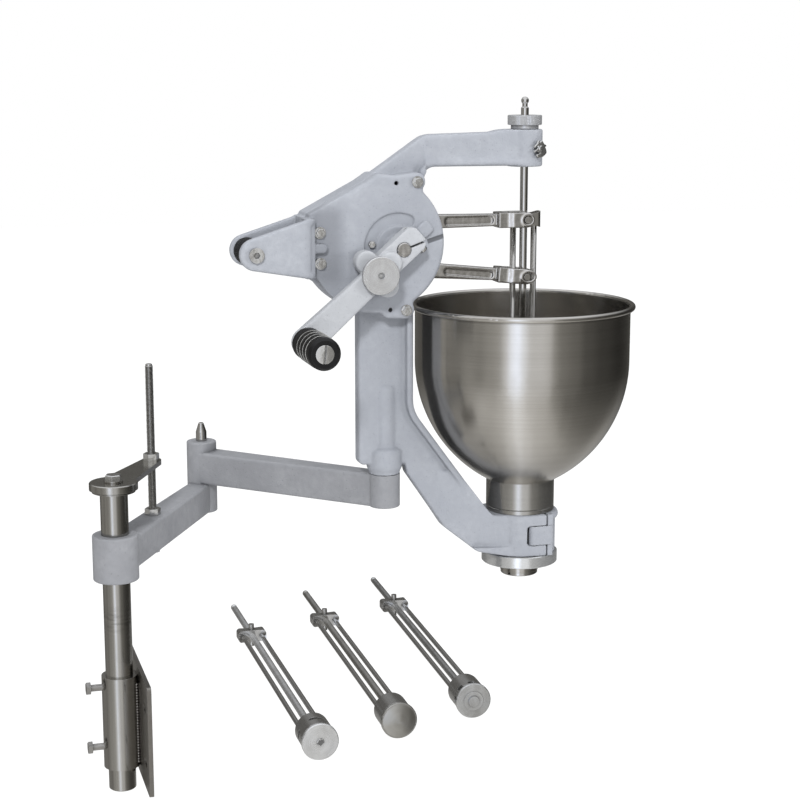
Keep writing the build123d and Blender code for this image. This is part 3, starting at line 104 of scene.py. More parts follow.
# Room below: a tone at each distance from an upright plane, with a gain that goes from front to back
room_low_tones = (
    (-0.99, 0.12), (-0.72, 0.22), (-0.58, 0.26), (-0.42, 0.235), (-0.25, 0.265), (-0.12, 0.35), (0.0, 0.44),
    (0.1, 0.37), (0.25, 0.29), (0.43, 0.25), (0.51, 0.215), (0.6, 0.13), (0.75, 0.07), (0.99, 0.03),
)
room_low_slope = (-0.22, -0.52)
room_low_bearing = -25.0
room_low_depth = (-0.35, 0.2)
room_low_gain = (0.25, -0.20)

# Light that dull surfaces get from all around, and the white that the camera sees
around_colour = (0.97, 0.985, 1.0, 1.0)
around_power = 0.56
white = (1.0, 1.0, 1.0, 1.0)

# Floor, lit from within for most of its share so that only a faint shadow stays
floor_size = 14.0
floor_place = (0.3, 0.3)
floor_colour = (0.9, 0.9, 0.9, 1.0)
floor_glow = 1.13
floor_glow_share = 0.86

# Softboxes: name, place, side and power
softbox_target = (0.35, 0.1, 0.35)
softboxes = (
    ("key_softbox", (-1.25, -3.4, 2.8), 0.5, 150.0),
    ("top_softbox", (0.4, 0.3, 2.4), 1.4, 20.0),
    ("side_softbox", (2.2, -1.7, 0.9), 0.9, 24.0),
)

# Layers of the castings: strength of each, tone of the dark ones against the deep colour, roughness and bump
cast_patch = 0.45
cast_fleck = 0.6
cast_pits = 0.5
cast_pits_tone = 0.5
# Paler corners: rub wear and a painted highlight
cast_rub_highlight = 0.5
# Painted shade in hollows and inner corners: its strength and its tone
cast_hollow_shade = 0.65
cast_hollow_shade_tone = 0.4
cast_rough_clean, cast_rough_handled = 0.66, 0.5
cast_depth = 0.0006
cast_bump = 0.55
cast_soften = 0.0022
cast_wave = (120.0, 0.0006)

# Share of painted shade by which the castings darken where the metal mirrors them
mirror_painted_shade = 0.45

# Layers of the steels, in the same way
# Brighter corners: rub wear and a painted highlight
steel_rub_highlight = 0.4
steel_rub_highlight_gain = 1.2
brushed_patch = 0.3
# Painted shade in hollows of the brushed steel: strength and tone
brushed_hollow_shade = 0.75
brushed_hollow_shade_tone = 0.22
brushed_depth = 0.00006
brushed_soften = 0.0005
turned_patch = 0.22
# Painted shade in hollows of the turned metal: strength and tone
turned_hollow_shade = 0.6
turned_hollow_shade_tone = 0.2
turned_depth = 0.00005
turned_soften = 0.0004
scuff_stretch = (60.0, 60.0, 260.0)
scuff_share = 0.45
scuff_tone = 0.35
# Dark heart: painted shade of a recess in the middle of a loose disc
heart_share = 0.8
heart_tone = 0.15
heart_ragged = 0.35

# Layers of the grip rubber
rubber_cloud_gain = 2.2
# Grey of the rib corners: rub wear and a painted highlight
rubber_rubbed_highlit = (0.09, 0.09, 0.088)
rubber_rough = (0.24, 0.36)
rubber_depth = 0.0001
rubber_bump = 0.12
rubber_soften = 0.0007

# Stretch of the brushing noise for lines that run up, across or back, and for an even grain
lines_up = (420.0, 420.0, 5.0)
lines_across = (5.0, 420.0, 420.0)
lines_back = (420.0, 5.0, 420.0)
even_grain = (110.0, 110.0, 110.0)

# Modelled details, lengths in metres and angles in degrees
smooth_angle = 35.0
merge_distance = 1e-6

# Thread of the lift rod: the ridge's foot is a share of the pitch, its tip a share of the foot
thread_pitch = 0.0015
thread_depth = 0.00092
thread_steps = 18
ridge_depth = 1.4 * thread_depth
ridge_foot = 0.86
ridge_tip = 0.18

# Painted highlight lines of the crank grip
grip_grooves = 5
grip_first_groove = 2
grip_line = 0.0005
grip_line_flat = 0.7
grip_line_shift = 0.0014

# Slotted screw of the crank grip
grip_head = 0.0035
grip_head_round = 0.0007
grip_slot = 0.0022
grip_slot_depth = 0.0016
grip_slot_angle = 6.0
grip_shank_share = 0.55
grip_shank_chamfer = 0.0008

# Weld beads of the plate
weld_radius = 0.0032
weld_form = (0.85, 1.15, 0.62)
weld_sink = 0.6
weld_offset = 0.0085
weld_step = 0.0034
weld_end = 0.006

# Wing screw: hub, lobes drawn out in two steps, a boss in the middle and a shank
wing_angle = -66.0
wing_hub = 0.0052
wing_reach = 0.0262
wing_lobes = 4
wing_first_lobe = 22.5
wing_steps = ((0.0036, 0.92), (0.0034, 0.8))
wing_boss_reach = 0.004
wing_boss_inset = 0.0018
wing_boss_rise = 0.0012
wing_shank = 0.003
wing_shank_length = 0.0165
wing_shank_reach = 0.0168
wing_shank_chamfer = 0.0006

# Softening of the castings and forgings: size of the new skin's cells and rounds of smoothing
frame_voxel = 0.0015
cover_voxel = 0.0011
crank_voxel = 0.0009
forge_voxel = 0.0006
cast_rounds = 6
arm_rounds = 30
forge_rounds = 24
flow_share = 0.5

# Levers: the flank's recess, from the pivot to the fork, and the eyes of the fork
lever_pivot_inset = 0.013
recess_after_pivot = 0.01
recess_before_stud = 0.037
recess_flank = 0.0061
recess_half = 0.0046
recess_growth = 1.3
eye_radius = 0.0067
eye_bead = 0.0018
eye_flat = 0.6
upper_eye_slide = 0.001
lower_eye_slide = 0.0042

# Top arm of the head: where it lies from the shaft and the hopper, and the flange and the web along it
arm_above_shaft = 0.085
arm_after_shaft = 0.04
arm_before_hopper = 0.026
arm_half = 0.014
flange_half = 0.021
flange_from = 0.012
web_half = 0.0105
web_from = 0.006
web_to = 0.0119
web_fill = 0.96

# Side rods and guide collar of the plunger
rod_growth = 0.0008
collar_neck = 0.0055
collar_neck_share = 0.81
collar_neck_overlap = 0.002
collar_neck_chamfer = 0.0006
collar_bore = 0.0051
knurl_teeth = 72
knurl_share = 0.985
knurl_band = 0.0004
knurl_rim = 0.0008
knurl_crown = 0.0012

# Face normals this close to a direction count as facing it
facing = 0.9
facing_lobe = 0.95


# Node helpers
def put(tree, kind, inputs=None, **settings):
    """One shader node: settings are its own options, inputs take a value or another node's socket."""
    node = tree.nodes.new("ShaderNode" + kind)
    for key, value in settings.items():
        setattr(node, key, value)
    for key, value in (inputs or {}).items():
        if isinstance(value, bpy.types.NodeSocket):
            tree.links.new(value, node.inputs[key])
        else:
            node.inputs[key].default_value = value
    return node


def spread(tree, value, low, high, to_low=0.0, to_high=1.0):
    """Value between low and high brought to a new span, held at its ends."""
    return put(tree, "MapRange", {
        "Value": value, "From Min": low, "From Max": high, "To Min": to_low, "To Max": to_high,
    }).outputs["Result"]


def compute(tree, operation, first, second=0.0):
    """One step of arithmetic."""
    return put(tree, "Math", {0: first, 1: second}, operation=operation).outputs[0]


def product(tree, first, second):
    """Two values multiplied."""
    return compute(tree, "MULTIPLY", first, second)


def noise(tree, place, scale, detail, roughness=0.5, distortion=0.0):
    """Plain noise at a place."""
    return put(tree, "TexNoise", {
        "Vector": place, "Scale": scale, "Detail": detail, "Roughness": roughness, "Distortion": distortion,
    }).outputs[0]


def length_of(tree, vector):
    """Length of a vector."""
    return put(tree, "VectorMath", {0: vector}, operation="LENGTH").outputs["Value"]


def blend_colour(tree, mask, first, second):
    """Colour that goes from the first to the second with the mask."""
    node = put(tree, "Mix", data_type="RGBA", blend_type="MIX")
    for socket, value in ((node.inputs[0], mask), (node.inputs[6], first), (node.inputs[7], second)):
        if isinstance(value, bpy.types.NodeSocket):
            tree.links.new(value, socket)
        elif isinstance(value, tuple):
            socket.default_value = (*value, 1.0)
        else:
            socket.default_value = value
    return node.outputs[2]


def lay_over(tree, colour, mask, share, over):
    """Colour with another laid over it, as strongly as the mask times the share."""
    return blend_colour(tree, product(tree, mask, share), colour, over)


def toned(colour, gain):
    """Colour made darker or brighter by a gain."""
    return tuple(min(1.0, gain * part) for part in colour)


def open_group(name, takes, gives):
    """Empty node group with named float or vector inputs and float outputs."""
    tree = bpy.data.node_groups.new(name, "ShaderNodeTree")
    for label, start in takes:
        kind = "NodeSocketVector" if start is None else "NodeSocketFloat"
        socket = tree.interface.new_socket(label, in_out="INPUT", socket_type=kind)
        if start is not None:
            socket.default_value = start
    for label in gives:
        tree.interface.new_socket(label, in_out="OUTPUT", socket_type="NodeSocketFloat")
    entry = tree.nodes.new("NodeGroupInput").outputs
    return tree, entry, tree.nodes.new("NodeGroupOutput")


def close_group(tree, leave, **results):
    """Node group with its results linked to its outputs."""
    for label, socket in results.items():
        tree.links.new(socket, leave.inputs[label])
    return tree


# Shared surface effects
def make_cast_grain():
    """Sand-cast and blasted skin: fine grain, shallow pits and broad clouds."""
    tree, entry, leave = open_group(
        "cast_grain", (("Vector", None), ("Grain", 900.0), ("Cloud", 16.0)),
        ("Height", "Shade", "Pits", "Fleck"))
    coarse_scale, coarse_height = 0.22, 0.9
    pit_scale, pit_depth = 0.3, 0.5
    place, grain = entry["Vector"], entry["Grain"]
    fine = noise(tree, place, grain, 3.0, 0.6)
    coarse = noise(tree, place, product(tree, grain, coarse_scale), 2.0)
    cell = put(tree, "TexVoronoi", {
        "Vector": place, "Scale": product(tree, grain, pit_scale)}).outputs["Distance"]
    pits = spread(tree, cell, 0.02, 0.16, 1.0, 0.0)
    cloud = noise(tree, place, entry["Cloud"], 5.0, 0.62)
    rough = compute(tree, "ADD", fine, product(tree, coarse, coarse_height))
    height = compute(tree, "SUBTRACT", rough, product(tree, pits, pit_depth))
    return close_group(
        tree, leave, Height=height, Shade=spread(tree, cloud, 0.3, 0.7), Pits=pits,
        Fleck=spread(tree, coarse, 0.3, 0.7))


def make_rubbed_highlit_edges():
    """Mask of corners within a given reach, for rub wear that also serves as a painted highlight."""
    tree, entry, leave = open_group("rubbed_highlit_edges", (("Reach", 0.001), ("Bite", 0.12)), ("Mask",))
    rounded = put(tree, "Bevel", {"Radius": entry["Reach"]}, samples=4).outputs[0]
    flat = put(tree, "NewGeometry").outputs["Normal"]
    agree = put(tree, "VectorMath", {0: rounded, 1: flat}, operation="DOT_PRODUCT").outputs["Value"]
    turn = compute(tree, "SUBTRACT", 1.0, agree)
    return close_group(tree, leave, Mask=spread(tree, turn, 0.004, entry["Bite"]))


def streaks(tree, line, band, line_share):
    """Fine lines mixed with broad bands, in strong contrast."""
    both = compute(tree, "ADD", product(tree, line, line_share), product(tree, band, 1.0 - line_share))
    return spread(tree, both, 0.32, 0.68)


def make_brush_lines():
    """Straight brushing: the coordinates come stretched, so the noise runs out into lines."""
    tree, entry, leave = open_group("brush_lines", (("Vector", None),), ("Height", "Streak"))
    hair = noise(tree, entry["Vector"], 1.0, 4.0, 0.7)
    band = noise(tree, entry["Vector"], 0.13, 2.0)
    return close_group(tree, leave, Height=hair, Streak=streaks(tree, hair, band, 0.65))


def make_turned_rings():
    """Rings left by a lathe round the local Z axis, fine lines over broad ones, within a given reach."""
    tree, entry, leave = open_group(
        "turned_rings", (("Vector", None), ("Pitch", 900.0), ("Reach", 9.0)), ("Height", "Streak"))
    near = compute(tree, "LESS_THAN", length_of(tree, entry["Vector"]), entry["Reach"])
    parts = put(tree, "SeparateXYZ", {0: entry["Vector"]}).outputs
    square = compute(
        tree, "ADD", product(tree, parts[0], parts[0]), product(tree, parts[1], parts[1]))
    radius = compute(tree, "POWER", square, 0.5)
    place = put(tree, "CombineXYZ", {
        0: product(tree, radius, entry["Pitch"]), 1: product(tree, parts[2], entry["Pitch"])}).outputs[0]
    line = noise(tree, place, 1.0, 3.0, 0.65)
    band = noise(tree, place, 0.12, 2.0)
    streak = streaks(tree, line, band, 0.6)
    return close_group(tree, leave, Height=product(tree, line, near), Streak=product(tree, streak, near))


def make_handled_patches():
    """Soft blotches from hands, wiping and storage."""
    tree, entry, leave = open_group("handled_patches", (("Vector", None), ("Size", 30.0)), ("Mask",))
    blot = noise(tree, entry["Vector"], entry["Size"], 6.0, 0.66, 0.6)
    return close_group(tree, leave, Mask=spread(tree, blot, 0.4, 0.66))


def make_hollow_painted_shade():
    """Mask of painted shade: hollows and inner corners within a given reach, by ambient occlusion."""
    tree, entry, leave = open_group("hollow_painted_shade", (("Reach", 0.005),), ("Mask",))
    open_share = put(
        tree, "AmbientOcclusion", {"Distance": entry["Reach"]}, samples=10, only_local=True).outputs["AO"]
    return close_group(tree, leave, Mask=spread(tree, open_share, 0.45, 0.95, 1.0, 0.0))


cast_grain = make_cast_grain()
hollow_painted_shade = make_hollow_painted_shade()
rubbed_highlit_edges = make_rubbed_highlit_edges()
brush_lines = make_brush_lines()
turned_rings = make_turned_rings()
handled_patches = make_handled_patches()


def use(tree, group, **inputs):
    """A shared effect placed in a material, with its own values."""
    node = tree.nodes.new("ShaderNodeGroup")
    node.node_tree = group
    for key, value in inputs.items():
        if isinstance(value, bpy.types.NodeSocket):
            tree.links.new(value, node.inputs[key])
        else:
            node.inputs[key].default_value = value
    return node.outputs


def new_finish(name, **constants):
    """Material with one Principled shader whose plain values sit on its own sockets."""
    material = bpy.data.materials.new(name)
    material.use_nodes = True
    tree = material.node_tree
    tree.nodes.clear()
    shader = put(tree, "BsdfPrincipled", constants)
    put(tree, "OutputMaterial", {"Surface": shader.outputs[0]})
    return material, tree, shader


def object_place(tree, centre=(0.0, 0.0, 0.0), turn=(0.0, 0.0, 0.0), scale=(1.0, 1.0, 1.0)):
    """Object coordinates, centred and turned on a piece."""
    coords = put(tree, "TexCoord").outputs["Object"]
    moved = put(tree, "VectorMath", {0: coords, 1: tuple(centre)}, operation="SUBTRACT").outputs[0]
    return put(
        tree, "Mapping", {"Vector": moved, "Rotation": turn, "Scale": scale}, vector_type="POINT").outputs[0]


def soft_patch(tree, centre, turn, half, blur):
    """Mask of an upright rectangle seen from the front, with soft borders."""
    parts = put(tree, "SeparateXYZ", {0: object_place(tree, centre, (0.0, turn, 0.0))}).outputs
    insides = []
    for side, reach in ((parts[0], half[0]), (parts[2], half[1])):
        insides.append(put(tree, "MapRange", {
            "Value": compute(tree, "ABSOLUTE", side), "From Min": reach - blur, "From Max": reach + blur,
            "To Min": 1.0, "To Max": 0.0,
        }, interpolation_type="SMOOTHSTEP").outputs["Result"])
    return product(tree, *insides)


def set_surface(tree, shader, colour, roughness, height, depth, strength, soften, wave=None):
    """Colour, roughness and bump to the shader, over corners rounded by the given radius and slow waves."""
    tree.links.new(colour, shader.inputs["Base Color"])
    tree.links.new(roughness, shader.inputs["Roughness"])
    normal = put(tree, "Bevel", {"Radius": soften}, samples=4).outputs[0]
    if wave:
        wave_scale, wave_height = wave
        swell = noise(tree, object_place(tree), wave_scale, 2.0)
        normal = put(tree, "Bump", {
            "Height": swell, "Distance": wave_height, "Strength": 1.0, "Normal": normal}).outputs[0]
    bump = put(tree, "Bump", {"Height": height, "Distance": depth, "Strength": strength, "Normal": normal})
    tree.links.new(bump.outputs[0], shader.inputs["Normal"])


def cast_finish(name, pale, deep, worn_highlit, grain=650.0, shade_patches=()):
    """Blasted aluminium casting: clouded colour, paler corners from rub wear and a painted highlight, dark
    pin pits, painted shade in hollows, painted shade by place, and painted shade where the metal mirrors it.
    """
    material, tree, shader = new_finish(name, **{"Metallic": 0.1, "Specular IOR Level": 0.45})
    place = object_place(tree)
    skin = use(tree, cast_grain, Vector=place, Grain=grain)
    patch = use(tree, handled_patches, Vector=place, Size=11.0)["Mask"]
    edge = use(tree, rubbed_highlit_edges, Reach=0.0016)["Mask"]
    hollow_shade = use(tree, hollow_painted_shade, Reach=0.009)["Mask"]
    colour = blend_colour(tree, skin["Shade"], deep, pale)
    colour = lay_over(tree, colour, patch, cast_patch, deep)
    colour = lay_over(tree, colour, skin["Fleck"], cast_fleck, deep)
    colour = lay_over(tree, colour, skin["Pits"], cast_pits, toned(deep, cast_pits_tone))
    # Paler corners, rub wear and a painted highlight
    colour = lay_over(tree, colour, edge, cast_rub_highlight, worn_highlit)
    # Painted shade darkens hollows and inner corners
    colour = lay_over(tree, colour, hollow_shade, cast_hollow_shade, toned(deep, cast_hollow_shade_tone))
    # Painted shade laid on by place, darker towards the deep colour
    for centre, turn, half, blur, share, tone in shade_patches:
        mask = soft_patch(tree, centre, turn, half, blur)
        colour = lay_over(tree, colour, mask, share, toned(deep, tone))
    # Painted shade: the castings turn darker where they are seen in the metal's reflections
    mirrored = put(tree, "LightPath").outputs["Is Glossy Ray"]
    colour = lay_over(tree, colour, mirrored, mirror_painted_shade, (0.0, 0.0, 0.0))
    roughness = spread(tree, patch, 0.0, 1.0, cast_rough_clean, cast_rough_handled)
    set_surface(
        tree, shader, colour, roughness, skin["Height"], cast_depth, cast_bump, cast_soften, cast_wave)
    return material


def steel_roughness(tree, streak, patch, rough):
    """Roughness that follows the lines and the smudges, by halves."""
    mix = compute(tree, "ADD", product(tree, streak, 0.5), product(tree, patch, 0.5))
    return spread(tree, mix, 0.0, 1.0, *rough)


def brushed_finish(name, pale, deep, rough, stretch=lines_up, bite=0.03, wave=None, scuffs=(), metal=1.0):
    """Ground or brushed steel: lines along the least stretched axis, smudges, brighter corners from rub wear
    and a painted highlight, painted shade in hollows, and scuffs.
    """
    material, tree, shader = new_finish(name, Metallic=metal)
    lines = use(tree, brush_lines, Vector=object_place(tree, scale=stretch))
    patch = use(tree, handled_patches, Vector=object_place(tree), Size=24.0)["Mask"]
    edge = use(tree, rubbed_highlit_edges, Reach=0.0007)["Mask"]
    hollow_shade = use(tree, hollow_painted_shade, Reach=0.005)["Mask"]
    colour = blend_colour(tree, lines["Streak"], deep, pale)
    colour = lay_over(tree, colour, patch, brushed_patch, deep)
    # Brighter corners, rub wear and a painted highlight
    colour = lay_over(tree, colour, edge, steel_rub_highlight, toned(pale, steel_rub_highlight_gain))
    # Painted shade darkens hollows and inner corners
    colour = lay_over(tree, colour, hollow_shade, brushed_hollow_shade, toned(deep, brushed_hollow_shade_tone))
    for height, half in scuffs:
        level = put(tree, "SeparateXYZ", {0: object_place(tree, (0.0, 0.0, height))}).outputs[2]
        near = spread(tree, compute(tree, "ABSOLUTE", level), 0.0, half, 1.0, 0.0)
        smear = noise(tree, object_place(tree, scale=scuff_stretch), 1.0, 3.0)
        mask = product(tree, near, spread(tree, smear, 0.4, 0.62))
        colour = lay_over(tree, colour, mask, scuff_share, toned(deep, scuff_tone))
    roughness = steel_roughness(tree, lines["Streak"], patch, rough)
    set_surface(
        tree, shader, colour, roughness, lines["Height"], brushed_depth, bite, brushed_soften, wave)
    return material


def turned_finish(
        name, pale, deep, rough, centre, turn=(0.0, 0.0, 0.0), pitch=900.0, bite=0.03, drawn=0.0, around="Z",
        metal=1.0, wave=None, reach=9.0, heart=0.0):
    """Lathe-turned or spun metal: rings round the piece's axis, a drawn-out shine, brighter corners from rub
    wear and a painted highlight, painted shade in hollows, and a dark heart of painted shade for a centre
    recess.
    """
    material, tree, shader = new_finish(
        name, **{"Metallic": metal, "Anisotropic": drawn, "Anisotropic Rotation": 0.25})
    if drawn:
        tangent = put(tree, "Tangent", direction_type="RADIAL", axis=around).outputs[0]
        tree.links.new(tangent, shader.inputs["Tangent"])
    place = object_place(tree, centre, turn)
    rings = use(tree, turned_rings, Vector=place, Pitch=pitch, Reach=reach)
    patch = use(tree, handled_patches, Vector=object_place(tree), Size=20.0)["Mask"]
    edge = use(tree, rubbed_highlit_edges, Reach=0.0007)["Mask"]
    hollow_shade = use(tree, hollow_painted_shade, Reach=0.004)["Mask"]
    colour = blend_colour(tree, rings["Streak"], deep, pale)
    colour = lay_over(tree, colour, patch, turned_patch, deep)
    # Brighter corners, rub wear and a painted highlight
    colour = lay_over(tree, colour, edge, steel_rub_highlight, toned(pale, steel_rub_highlight_gain))
    # Dark heart: painted shade standing in for the recess in the middle of the disc
    if heart:
        ragged = noise(tree, place, 420.0, 3.0)
        heart_edge = spread(tree, ragged, 0.3, 0.7, heart_ragged * heart, heart)
        near = compute(tree, "LESS_THAN", length_of(tree, place), heart_edge)
        colour = lay_over(tree, colour, near, heart_share, toned(deep, heart_tone))
    # Painted shade darkens hollows and inner corners
    colour = lay_over(tree, colour, hollow_shade, turned_hollow_shade, toned(deep, turned_hollow_shade_tone))
    roughness = steel_roughness(tree, rings["Streak"], patch, rough)
    set_surface(tree, shader, colour, roughness, rings["Height"], turned_depth, bite, turned_soften, wave)
    return material


def rubber_finish(name, tone, rubbed_highlit):
    """Black grip rubber: dusty grain, ribs grey along their corners from rub wear and a painted highlight."""
    material, tree, shader = new_finish(name, **{"Metallic": 0.0, "Specular IOR Level": 0.42})
    skin = use(tree, cast_grain, Vector=object_place(tree), Grain=1500.0, Cloud=60.0)
    edge = use(tree, rubbed_highlit_edges, Reach=0.0009, Bite=0.2)["Mask"]
    colour = blend_colour(tree, skin["Shade"], tone, toned(tone, rubber_cloud_gain))
    # Grey rib corners, rub wear and a painted highlight
    colour = lay_over(tree, colour, edge, rubbed_highlit, rubber_rubbed_highlit)
    roughness = spread(tree, skin["Shade"], 0.0, 1.0, *rubber_rough)
    set_surface(tree, shader, colour, roughness, skin["Height"], rubber_depth, rubber_bump, rubber_soften)
    return material


def centre_of(name):
    """Middle of a solid's box."""
    low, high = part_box(name)
    return (low + high) / 2


def disc_axis(name):
    """Middle of the disc at the front end of a loose plunger."""
    low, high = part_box(name)
    half = (high.z - low.z) / 2
    return Vector((low.x + half, low.y, low.z + half))


def dress(material, *names):
    """Gives solids their finish."""
    for name in names:
        mesh = nodes[name].data
        mesh.materials.clear()
        mesh.materials.append(material)


# Axes of the turned pieces
along_y = (math.radians(90.0), 0.0, 0.0)
hopper_axis = centre_of("hopper_bowl")
knob_axis = centre_of("index_knob")
shaft_axis = centre_of("camshaft")

# Painted shade on the side cover, over the tail's hollow and in the index groove: place, turn, half sizes,
# blur, strength, tone
cover_painted_shade = (
    (shaft_axis + Vector((-0.088, 0.0, 0.004)), 0.0, (0.021, 0.046), 0.012, 0.85, 0.70),
    (shaft_axis + Vector((0.047, 0.0, 0.0096)), math.radians(17.0), (0.0108, 0.0028), 0.0006, 0.9, 0.32),
)

# Finishes of the castings and grips
light_pale, light_deep, light_worn_highlit = (0.385, 0.401, 0.436), (0.298, 0.313, 0.348), (0.50, 0.515, 0.55)
cast_light = cast_finish("cast_light", light_pale, light_deep, light_worn_highlit)
cast_cover = cast_finish("cast_cover", light_pale, light_deep, light_worn_highlit, shade_patches=cover_painted_shade)
cast_crank = cast_finish("cast_crank", (0.48, 0.493, 0.517), (0.385, 0.397, 0.42), (0.58, 0.59, 0.61))
cast_grey = cast_finish(
    "cast_grey", (0.325, 0.331, 0.35), (0.235, 0.24, 0.257), (0.45, 0.456, 0.473), grain=520.0)
grip_rubber = rubber_finish("grip_rubber", (0.0025, 0.0025, 0.0029), rubbed_highlit=0.1)
# Pale grey of the painted highlight lines on the crank grip
rubber_highlight = rubber_finish("rubber_highlight", (0.16, 0.16, 0.155), rubbed_highlit=0.0)

# Finishes of the turned pieces
hopper_steel = turned_finish(
    "spun_steel", (0.66, 0.64, 0.605), (0.58, 0.56, 0.525), (0.17, 0.26), hopper_axis,
    pitch=700.0, drawn=0.8, wave=(9.0, 0.0009))
neck_steel = turned_finish(
    "neck_steel", (0.575, 0.565, 0.54), (0.49, 0.48, 0.46), (0.2, 0.28), hopper_axis,
    pitch=700.0, drawn=0.5, metal=0.95)
nut_lathe = turned_finish(
    "turned_nut", (0.80, 0.81, 0.82), (0.73, 0.74, 0.75), (0.14, 0.2), hopper_axis,
    pitch=1600.0, bite=0.006, metal=0.8, wave=(60.0, 0.0003))
collar_lathe = turned_finish(
    "turned_collar", (0.62, 0.63, 0.65), (0.52, 0.53, 0.55), (0.24, 0.34), hopper_axis,
    pitch=1600.0, bite=0.006, metal=0.7)
knob_lathe = turned_finish(
    "turned_knob", (0.74, 0.745, 0.755), (0.62, 0.625, 0.635), (0.2, 0.3), knob_axis, along_y,
    pitch=1500.0, bite=0.012, drawn=0.75, around="Y", metal=0.75, wave=(40.0, 0.0008))
bearing_bronze = turned_finish(
    "bearing_bronze", (0.62, 0.43, 0.22), (0.5, 0.33, 0.15), (0.25, 0.4), hopper_axis, pitch=1200.0)

# Finishes of the loose discs, with the size of their dark hearts of painted shade
spare_looks = (
    ("1", (0.85, 0.855, 0.86), (0.73, 0.735, 0.74), (0.2, 0.32), 0.006, 0.85),
    ("2", (0.56, 0.55, 0.52), (0.47, 0.46, 0.435), (0.3, 0.42), 0.0, 1.0),
    ("3", (0.76, 0.765, 0.765), (0.58, 0.585, 0.585), (0.18, 0.3), 0.0, 0.95),
)
spare_lathes = {
    digit: turned_finish(
        "spare_lathe_" + digit, pale, deep, rough, disc_axis("spare_disc_" + digit), along_y,
        pitch=1200.0, bite=0.02, drawn=0.8, around="Y", metal=metal, wave=(30.0, 0.0011), reach=0.08,
        heart=heart)
    for digit, pale, deep, rough, heart, metal in spare_looks
}

# Finishes of the ground and rolled steel
spare_steel = brushed_finish(
    "spare_steel", (0.62, 0.615, 0.605), (0.49, 0.485, 0.475), (0.1, 0.18), lines_back, metal=0.92)
column_steel = brushed_finish(
    "column_steel", (0.56, 0.545, 0.515), (0.46, 0.45, 0.425), (0.16, 0.26), scuffs=((0.126, 0.02),))
rod_steel = brushed_finish("rod_steel", (0.72, 0.71, 0.69), (0.60, 0.59, 0.57), (0.07, 0.13))
lever_steel = brushed_finish(
    "lever_steel", (0.78, 0.765, 0.745), (0.64, 0.625, 0.605), (0.17, 0.27), lines_across,
    bite=0.02, wave=(55.0, 0.0007))
plate_steel = brushed_finish(
    "plate_steel", (0.355, 0.34, 0.315), (0.27, 0.255, 0.235), (0.26, 0.38), lines_back)
fastener_steel = brushed_finish(
    "fastener_steel", (0.80, 0.80, 0.795), (0.68, 0.68, 0.675), (0.12, 0.22), even_grain,
    wave=(90.0, 0.0007), metal=0.95)
dark_steel = brushed_finish("dark_steel", (0.48, 0.47, 0.45), (0.34, 0.33, 0.32), (0.14, 0.26), even_grain)
weld_steel = brushed_finish(
    "weld_steel", (0.5, 0.48, 0.45), (0.3, 0.28, 0.26), (0.3, 0.45), even_grain, bite=0.1)

dress(cast_light, "head_frame", "yoke_gate")
dress(cast_crank, "crank")
dress(cast_cover, "side_cover")
dress(cast_grey, "lower_arm", "upper_arm")
dress(grip_rubber, "crank_grip", "rear_grip")
dress(hopper_steel, "hopper_bowl", "nozzle_tube")
dress(neck_steel, "hopper_neck")
dress(nut_lathe, "nozzle_nut")
dress(collar_lathe, "guide_collar")
dress(knob_lathe, "index_knob")
dress(column_steel, "column", "clamp_sleeve", "lift_bracket", "cap_washer")
dress(rod_steel, "lift_rod", "elbow_pin", "head_pin", "gate_pin", "cutter_rods", "cutter_sleeve",
      "centre_rod", "cutter_disc", "crosshead", "rod_block")
dress(lever_steel, "upper_lever", "lower_lever", "upper_roller", "lower_roller", "lever_pivots",
      "crosshead_studs", "cam_disc", "camshaft", "shaft_key")
for digit, lathe in spare_lathes.items():
    dress(spare_steel, "spare_sleeve_" + digit)
    dress(lathe, "spare_disc_" + digit)
dress(plate_steel, "mount_plate")
dress(fastener_steel, "cap_bolt", "height_nut", "lock_nut", "cover_washers", "cover_bolts",
      "cover_dowels", "stop_bolt", "clamp_screw", "grip_screw", "rear_grip_bolt")
dress(dark_steel, "wing_screw", "set_screws")
dress(bearing_bronze, "camshaft_bushes", "guide_bush")


# Modelling helpers
def clear_selection():
    """Leaves nothing selected."""
    bpy.ops.object.select_all(action="DESELECT")


def make_active(piece):
    """Selects one piece alone and makes it the active one."""
    clear_selection()
    piece.select_set(True)
    bpy.context.view_layer.objects.active = piece


def go_edit():
    """Edit mode of the active piece."""
    bpy.ops.object.mode_set(mode="EDIT")


def leave_edit():
    """Back to object mode."""
    bpy.ops.object.mode_set(mode="OBJECT")


def pick_vertices(piece, wanted):
    """In edit mode, selects the vertices whose place passes the test."""
    bpy.ops.mesh.select_mode(type="VERT")
    bpy.ops.mesh.select_all(action="DESELECT")
    leave_edit()
    for vertex in piece.data.vertices:
        vertex.select = wanted(vertex.co)
    go_edit()


def pick_faces(piece, wanted):
    """In edit mode, selects the faces whose middle and normal pass the test."""
    bpy.ops.mesh.select_mode(type="FACE")
    bpy.ops.mesh.select_all(action="DESELECT")
    leave_edit()
    for face in piece.data.polygons:
        face.select = wanted(face.center, face.normal)
    go_edit()


def stretch_all(sizes, **options):
    """Stretches the whole mesh of the active piece about its middle."""
    go_edit()
    bpy.ops.mesh.select_all(action="SELECT")
    bpy.ops.transform.resize(value=sizes, **options)
    leave_edit()


def new_pin(sides, radius, length, place, turn=(0.0, 0.0, 0.0)):
    """Round bar to start a piece from."""
    clear_selection()
    bpy.ops.mesh.primitive_cylinder_add(
        vertices=sides, radius=radius, depth=length, location=place, rotation=turn)
    return bpy.context.object


def chamfer_ends(pin, ends, width, steps=2):
    """Bevels the rim of a bar's end faces: -1 is its lower end, 1 its upper one."""
    go_edit()
    pick_faces(pin, lambda place, normal: any(end * normal.z > facing for end in ends))
    bpy.ops.mesh.bevel(offset=width, segments=steps)
    leave_edit()


